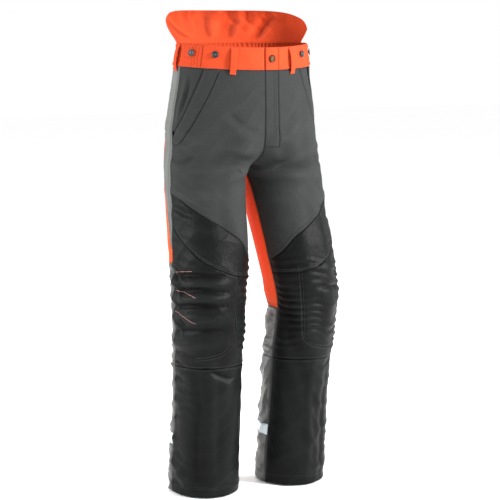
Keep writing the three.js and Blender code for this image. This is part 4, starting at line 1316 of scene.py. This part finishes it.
def along_lines(name, lines, tree, material, **given):
    """Runs a node group along lines of points, in mm, and keeps the result as a plain mesh."""
    curve = bpy.data.curves.new(name + "_lines", "CURVE")
    curve.dimensions = "3D"
    for points in lines:
        spline = curve.splines.new("POLY")
        spline.points.add(len(points) - 1)
        flat = np.concatenate([np.asarray(points) * MM, np.ones((len(points), 1))], axis=1)
        spline.points.foreach_set("co", flat.ravel())
    guide = bpy.data.objects.new(name + "_lines", curve)
    ROOT.objects.link(guide)
    modifier = guide.modifiers.new("row", "NODES")
    modifier.node_group = tree
    for label, size in given.items():
        modifier[socket_named(tree, label)] = size * MM
    modifier[socket_named(tree, "Finish")] = material
    graph = bpy.context.evaluated_depsgraph_get()
    graph.update()
    mesh = bpy.data.meshes.new_from_object(guide.evaluated_get(graph), depsgraph=graph)
    mesh.name = name
    bpy.data.objects.remove(guide)
    bpy.data.curves.remove(curve)
    made = bpy.data.objects.new(name, mesh)
    ROOT.objects.link(made)
    return made


# %% [markdown]
# ## Zips
#
# Each zip is two woven tapes with a row of moulded teeth on each, a slider and a pull. The tapes are
# plain strips of cloth, and the teeth are set along them by the node group, each row half a step from
# the other so that they mesh. The slider and pull keep their solid's shape, with their edges softened.

# %% Zips
def softened(node, name, body, material, width, segments=2):
    """A copy of a CAD node with its sharp edges rounded, as a pressing or casting has them."""
    source = bpy.data.objects[node]
    mesh = source.data.copy()
    made = bpy.data.objects.new(name, mesh)
    made.matrix_world = source.matrix_world
    ROOT.objects.link(made)
    weld = made.modifiers.new("weld", "WELD")
    weld.merge_threshold = 0.00002
    flat = made.modifiers.new("flat", "DECIMATE")
    flat.decimate_type, flat.angle_limit = "DISSOLVE", math.radians(3)
    bevel = made.modifiers.new("bevel", "BEVEL")
    bevel.width, bevel.segments, bevel.limit_method = width * MM, segments, "ANGLE"
    bevel.angle_limit = math.radians(35)
    bevel.harden_normals = False
    graph = bpy.context.evaluated_depsgraph_get()
    rounded = bpy.data.meshes.new_from_object(made.evaluated_get(graph), depsgraph=graph)
    rounded.transform(made.matrix_world)
    made.modifiers.clear()
    made.data = rounded
    made.matrix_world = Matrix.Identity(4)
    rounded.materials.clear()
    rounded.materials.append(material)
    rounded.polygons.foreach_set("use_smooth", [True] * len(rounded.polygons))
    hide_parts(node)
    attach(made, body)
    return made


for name, ends in ZIPS.items():
    place, half = between(*ends), math.dist(ends[0][:3, 3], ends[1][:3, 3]) / 2
    for label, sign in (("left", 1), ("right", -1)):
        inner, outer = sorted((sign * 0.9, sign * 11.4))
        tape = flat_piece(
            f"cloth_{name}_tape_{label}", place, inner, outer, -half, half, -0.4, 0.8, TAPE, pitch=2.5,
        )
        finish_sheet(tape, f"{name}_tape_{label}", "trousers")
        shift = 0.6 * sign
        line = carried(place, [(1.9 * sign, 0, -half + 1.5 + shift), (1.9 * sign, 0, half - 1.5 + shift)])
        teeth = along_lines(
            f"{name}_teeth_{label}", [line], TEETH, PLASTIC, Pitch=2.4, Length=1.3, Width=2.2, Height=2.0,
        )
        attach(teeth, "trousers")
    for part in ("slider", "pull"):
        body = f"{name.split('_')[0]}_{part}"
        softened(f"{name}_{part}", f"{name}_{part}_finished", body, STEEL, 0.22)

# %% [markdown]
# ## Belt loops, brace buttons and the waist button
#
# A belt loop is a strip of the same orange cloth, folded to four layers and sewn down at both ends, with
# room for a belt. The brace buttons are moulded, with a rim and a rivet. The waist button is a pressed
# metal cap with rings. Turned pieces are profiles spun round an axis, closed at both poles.

# %% Turned pieces
def turned(name, profile, place, material, steps=40):
    """Spins a profile of (radius, height) round an axis that points out of the cloth."""
    points, rings = [], []
    for radius, height in profile:
        if radius == 0:
            rings.append([len(points)] * steps)
            points.append((0, -height, 0))
            continue
        rings.append(list(range(len(points), len(points) + steps)))
        for k in range(steps):
            a = 2 * math.pi * k / steps
            points.append((radius * math.cos(a), -height, radius * math.sin(a)))
    faces = []
    for low, high in zip(rings, rings[1:]):
        for k in range(steps):
            n = (k + 1) % steps
            loop = [low[k], low[n], high[n], high[k]]
            faces.append([v for i, v in enumerate(loop) if v != loop[i - 1]])
    mesh = bpy.data.meshes.new(name)
    mesh.from_pydata((carried(place, points) * MM).tolist(), [], faces)
    mesh.polygons.foreach_set("use_smooth", [True] * len(mesh.polygons))
    mesh.materials.append(material)
    made = bpy.data.objects.new(name, mesh)
    ROOT.objects.link(made)
    return made


# The foot is at the first point of the profile and the middle of the face at the last.
BRACE_PROFILE = [
    (0, 0.5), (3, 0.5), (3, 1.9), (7.1, 2.0), (7.8, 2.4), (8, 2.9), (7.7, 3.7), (7.0, 4.15), (6.3, 4.1),
    (5.9, 3.5), (5.6, 3.25), (3.4, 3.25), (3.1, 3.5), (2.9, 4.0), (2.3, 4.2), (0, 4.2),
]
STUD_PROFILE = [
    (0, -3.1), (4.8, -3.1), (4.8, -2.3), (2.4, -2.3), (2.4, 0.8), (6.6, 0.8), (7.3, 1.2), (7.5, 1.8),
    (7.2, 2.5), (6.5, 2.95), (5.9, 2.9), (5.6, 2.5), (5.2, 2.45), (4.9, 2.75), (4.4, 2.8), (4.1, 2.4),
    (3.6, 2.35), (2.2, 2.5), (0, 2.55),
]
BRACE_BUTTONS = [
    ("front_left", 42.7), ("side_left", 67.2), ("back_left", 169), ("back_right", -169),
    ("side_right", -67.2), ("front_right", -42.7),
]
for label, angle in BRACE_BUTTONS:
    node = f"brace_button_{label}"
    button = turned(f"{node}_finished", BRACE_PROFILE, place_at(1, angle, -20, BAND_PROUD), PLASTIC)
    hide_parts(node)
    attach(button, "trousers")
    rivet = turned(
        f"{node}_rivet", [(0, 4.0), (1.7, 4.0), (1.7, 4.35), (1.2, 4.6), (0, 4.7)],
        place_at(1, angle, -20, BAND_PROUD), STEEL, 24,
    )
    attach(rivet, "trousers")
stud_place = place_at(1, STUD_ANGLE, STUD_HEIGHT, BAND_PROUD)
stud = turned("tack_button_finished", STUD_PROFILE, stud_place, BRONZE, 48)
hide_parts("tack_button")
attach(stud, "trousers")

# %% Belt loops
LOOP_WIDTH, LOOP_STRAP = 14, 1.8
LOOP_HIGH, LOOP_LOW = BAND_HEIGHT / 2 - 2, -BAND_HEIGHT / 2 - 11


def loop_line(t):
    """Depth and height of the strap's outer face, from its upper foot to its lower foot."""
    rise = np.sin(math.pi * np.clip((t - 0.06) / 0.88, 0, 1)) ** 0.55
    return 2.0 + 5.4 * rise, mix(LOOP_HIGH, LOOP_LOW, t)


def strap_across(x):
    return 1.0 * smooth(np.abs(x), LOOP_WIDTH / 2 - 1.4, LOOP_WIDTH / 2)


LOOPS = [
    ("front_left", 26.5), ("side_left", 89), ("back_left", 137), ("back", 180), ("back_right", -137),
    ("side_right", -89), ("front_right", -26.5),
]
loop_places = {}
for label, angle in LOOPS:
    node = f"belt_loop_{label}"
    place = between(*[place_at(1, angle, z, BAND_PROUD) for z in (-BAND_HEIGHT, 0)])
    loop_places[label] = place
    x, t = np.meshgrid(np.linspace(-LOOP_WIDTH / 2, LOOP_WIDTH / 2, 17), np.linspace(0, 1, 46))
    depth, z = loop_line(t)
    outer = carried(place, np.stack([x, strap_across(x) - depth, z], axis=-1))
    inner = carried(place, np.stack([x, LOOP_STRAP - 0.2 * strap_across(x) - depth, z], axis=-1))
    u, v = lengths(outer)
    loop = shell(
        f"cloth_{node}", outer, inner, np.ones((45, 16), dtype=bool), ORANGE, np.stack([u, v], axis=-1),
        seam=smooth(np.abs(x), LOOP_WIDTH / 2 - 1.4, LOOP_WIDTH / 2), fold=0 * x,
    )
    sizes[loop.name] = (LOOP_WIDTH * MM, float(v.max()) * MM, LOOP_WIDTH * float(v.max()) * MM**2)
    finish_sheet(loop, node, "trousers")

# %% [markdown]
# ## Sewn lines
#
# Every seam of work trousers is sewn two or three times, and the lines of thread are what make the panels
# read as cloth. Each line is a path on the same surface as the panels, lifted by half a thread. A stitch
# is 3.4 mm long at a pitch of 4.4 mm, as in heavy trousers. Real thread is 0.4 mm thick; it is drawn
# 1.1 mm thick so that it still shows when the trousers fill the picture.

# %% Lines of thread
LIFT = 0.45
lines = {}


def sewn(group, colour, points):
    lines.setdefault((group, colour), []).append(points)


def smooth_path(points, step=4.0):
    """A smooth line through a few (round, height) places, close enough to follow the folds."""
    p = np.array(points, dtype=float)
    p = np.vstack([2 * p[0] - p[1], p, 2 * p[-1] - p[-2]])
    out = []
    for a, b, c, d in zip(p, p[1:], p[2:], p[3:]):
        count = max(2, int(np.hypot((c[0] - b[0]) * HALF, c[1] - b[1]) / step))
        for t in np.arange(count) / count:
            out.append(0.5 * (2 * b + (c - a) * t + (2 * a - 5 * b + 4 * c - d) * t**2
                              + (3 * b - a - 3 * c + d) * t**3))
    return np.array([*out, p[-2]])


def sew(side, colour, points, group=None, offsets=(0,), lift=LIFT, curved=True):
    """Sews along (round, height) places; offsets are in mm to the side of the line, for twin rows."""
    path = smooth_path(points) if curved else np.array(points, dtype=float)
    run = np.gradient(path * [HALF, 1], axis=0)
    run /= np.maximum(np.linalg.norm(run, axis=1, keepdims=True), 1e-6)
    for offset in offsets:
        r = path[:, 0] + offset * run[:, 1] / HALF
        z = path[:, 1] - offset * run[:, 0]
        sewn(group or BODY[side][0], colour, skin(side, r, z, np.full(r.shape, lift)))


def down(edge, top, bottom, shift=0.0, step=4.0):
    z = np.arange(top, bottom, -step)
    return np.stack([value(edge, z) + shift, z], axis=-1)


def over(edge, start, end, shift=0.0, step=0.016):
    r = np.arange(start, end, step)
    return np.stack([r, value(edge, r) + shift], axis=-1)


for side in BOTH:
    # side seam: dense twin rows on both cloths
    sew(side, "black", down(0.985, -58, HEM + 4), curved=False)
    sew(side, "black", down(1.018, -58, HEM + 4), curved=False)
    sew(side, "black", down(1.034, -58, HEM + 4), curved=False)
    # hip pocket
    sew(side, "grey", down(mouth_edge, -56, POCKET_END + 6, -0.014), curved=False)
    sew(side, "grey", down(mouth_edge, -56, POCKET_END + 6, -0.038), curved=False)
    sew(side, "grey", down(welt_seam, -56, POCKET_END + 2, -0.018), curved=False)
    # inside leg and centre seams
    sew(side, "black", down(0.016, -245, HEM + 4), curved=False)
    sew(side, "black", down(0.036, -245, HEM + 4), curved=False)
    sew(side, "grey", down(1.984, -60, -260), curved=False)
    sew(side, "grey", down(1.964, -60, -260), curved=False)
    # the grey front's lower edge, and a second row above it
    sew(side, "black", over(grey_edge, 0.01, 0.985, 4), curved=False)
    sew(side, "black", over(grey_edge, 0.03, 0.985, 7.5), curved=False)
    sew(side, "grey", over(grey_edge, 0.08, 0.985, 19), curved=False)
    # the knee patch
    sew(side, "grey", over(patch_edge, 0.01, 0.98, 4), curved=False)
    sew(side, "grey", over(patch_edge, 0.01, 0.98, 8), curved=False)
    sew(side, "grey", PATCH_SEAM[side], offsets=(-3, 3))
    sew(side, "grey", over(KNEE_END, 0.02, 0.98, 4), curved=False)
    sew(side, "grey", over(KNEE_END, 0.02, 0.98, -4), curved=False)
    # the orange back and the calf
    sew(side, "orange", over(orange_top, 1.26, 1.98, -5), curved=False)
    sew(side, "grey", over(orange_top, 1.26, 1.98, 5), curved=False)
    sew(side, "orange", over(orange_bottom, 1.04, 1.98, 4), curved=False)
    sew(side, "grey", over(KNEE_END, 1.04, 1.98, -4), curved=False)
    # hem
    for height in (19, 23):
        sew(side, "black", over(HEM + height, 0.02, 1.98), curved=False)
    # the reflective tape
    for height in (REFLECTIVE_TOP - 2, REFLECTIVE_TOP - REFLECTIVE_HEIGHT + 2):
        sew(side, "grey", over(height, 1.02, 1.98), curved=False, lift=2.0)
# short lines of pink thread that hold the right knee's folds
for path in ([(0.97, -517), (0.87, -513), (0.78, -510)], [(0.96, -558), (0.84, -560), (0.73, -567)],
             [(0.96, -606), (0.84, -614), (0.73, -627)]):
    sew(-1, "pink", path)

# the fly's free edge and its J-shaped lines, which move with the flap
def fly_round(across):
    return lambda z: round_at(across, z)


for across, end in ((24.0, -200), (29.0, -204)):
    straight = down(fly_round(across), -56, end, step=6)
    bend = [(float(round_at(across * k, end - 16 * math.sin(a))), end - 16 * math.sin(a))
            for k, a in ((0.93, 0.5), (0.72, 1.0), (0.42, 1.35), (0.12, 1.5))]
    sew(1, "black", np.vstack([straight, bend]), group="fly_flap")
sew(1, "grey", down(fly_round(3.0), -56, FLY_BOTTOM + 4), group="fly_flap", curved=False)

# the band, the elastic's channels and the kidney panel
def sew_strip(group, colour, start, end, height, outer, lift_of):
    angle = np.arange(start, end, 1.2)
    z = value(height, angle)
    sewn(group, colour, strip_point(angle, z, outer(angle, z) + lift_of(angle, z) + LIFT))


for height in (-3.2, 3.2 - BAND_HEIGHT):
    sew_strip("waist", "orange", HINGE_ANGLE + 1, ELASTIC, height, flat_band, band_relief)
    sew_strip("waist", "orange", 1 - ELASTIC, -TAB_END - 0.5, height, flat_band, band_relief)
    sew_strip("fly_flap", "orange", TAB_END + 1, HINGE_ANGLE - 1, height, flat_band, band_relief)
for height in (-1 - 13 * k for k in range(1, 4)):
    sew_strip("waist", "orange", ELASTIC + 1, 359 - ELASTIC, height, flat_band, band_relief)
sew_strip("waist", "orange", KIDNEY_END + 2, 358 - KIDNEY_END, 4.5, kidney_flare, kidney_relief)
sew_strip(
    "waist", "orange", KIDNEY_END + 3, 357 - KIDNEY_END, lambda a: kidney_top(a) - 5, kidney_flare,
    kidney_relief,
)

# dense bars of thread across the ends of the loops
for place in loop_places.values():
    for t in (0.03, 0.07, 0.93, 0.97):
        depth, z = loop_line(t)
        x = np.linspace(-6, 6, 9)
        sewn("waist", "orange", carried(place, np.stack([x, 0 * x - depth - 0.1, 0 * x + z], axis=-1)))
# a worked buttonhole round the waist button
a = np.linspace(0, 2 * math.pi, 60)
for radius in (BUTTONHOLE + 0.7, BUTTONHOLE + 2.0):
    place = place_at(1, STUD_ANGLE, STUD_HEIGHT, BAND_PROUD + 0.3)
    ring = np.stack([radius * np.cos(a), 0 * a, radius * np.sin(a)], axis=-1)
    sewn("fly_flap", "orange", carried(place, ring))

count = 0
for (group, colour), rows in lines.items():
    made = along_lines(
        f"stitches_{group}_{colour}", rows, STITCHES, THREADS[colour],
        Pitch=4.4, Length=3.4, Width=1.1, Height=0.9,
    )
    if group in ("left", "right"):
        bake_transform(made)
    else:
        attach(made, "fly_flap" if group == "fly_flap" else "trousers")
    count += len(made.data.polygons) // 20
print("stitches", count)

# %% [markdown]
# ## Floor and its finish
#
# The trousers stand on a plain white sheet of floor, which only catches their shadow. It could curve up
# behind them as in a studio, but the white surround already does that. It lies just under the lowest
# point of the CAD box, which is printed at the start.

# %% Floor and its finish
bpy.ops.mesh.primitive_plane_add(size=30, location=(0, 0, cad_low[2] - 0.004))
floor = bpy.context.object
floor.name = "studio_floor"
floor_material, tree = blank_material("plain_pale_floor")
shader = add(tree, "ShaderNodeBsdfPrincipled", {"Base Color": linear("#fdfdfd"), "Roughness": 0.9})
add(tree, "ShaderNodeOutputMaterial", {"Surface": shader.outputs["BSDF"]})
floor.data.materials.append(floor_material)
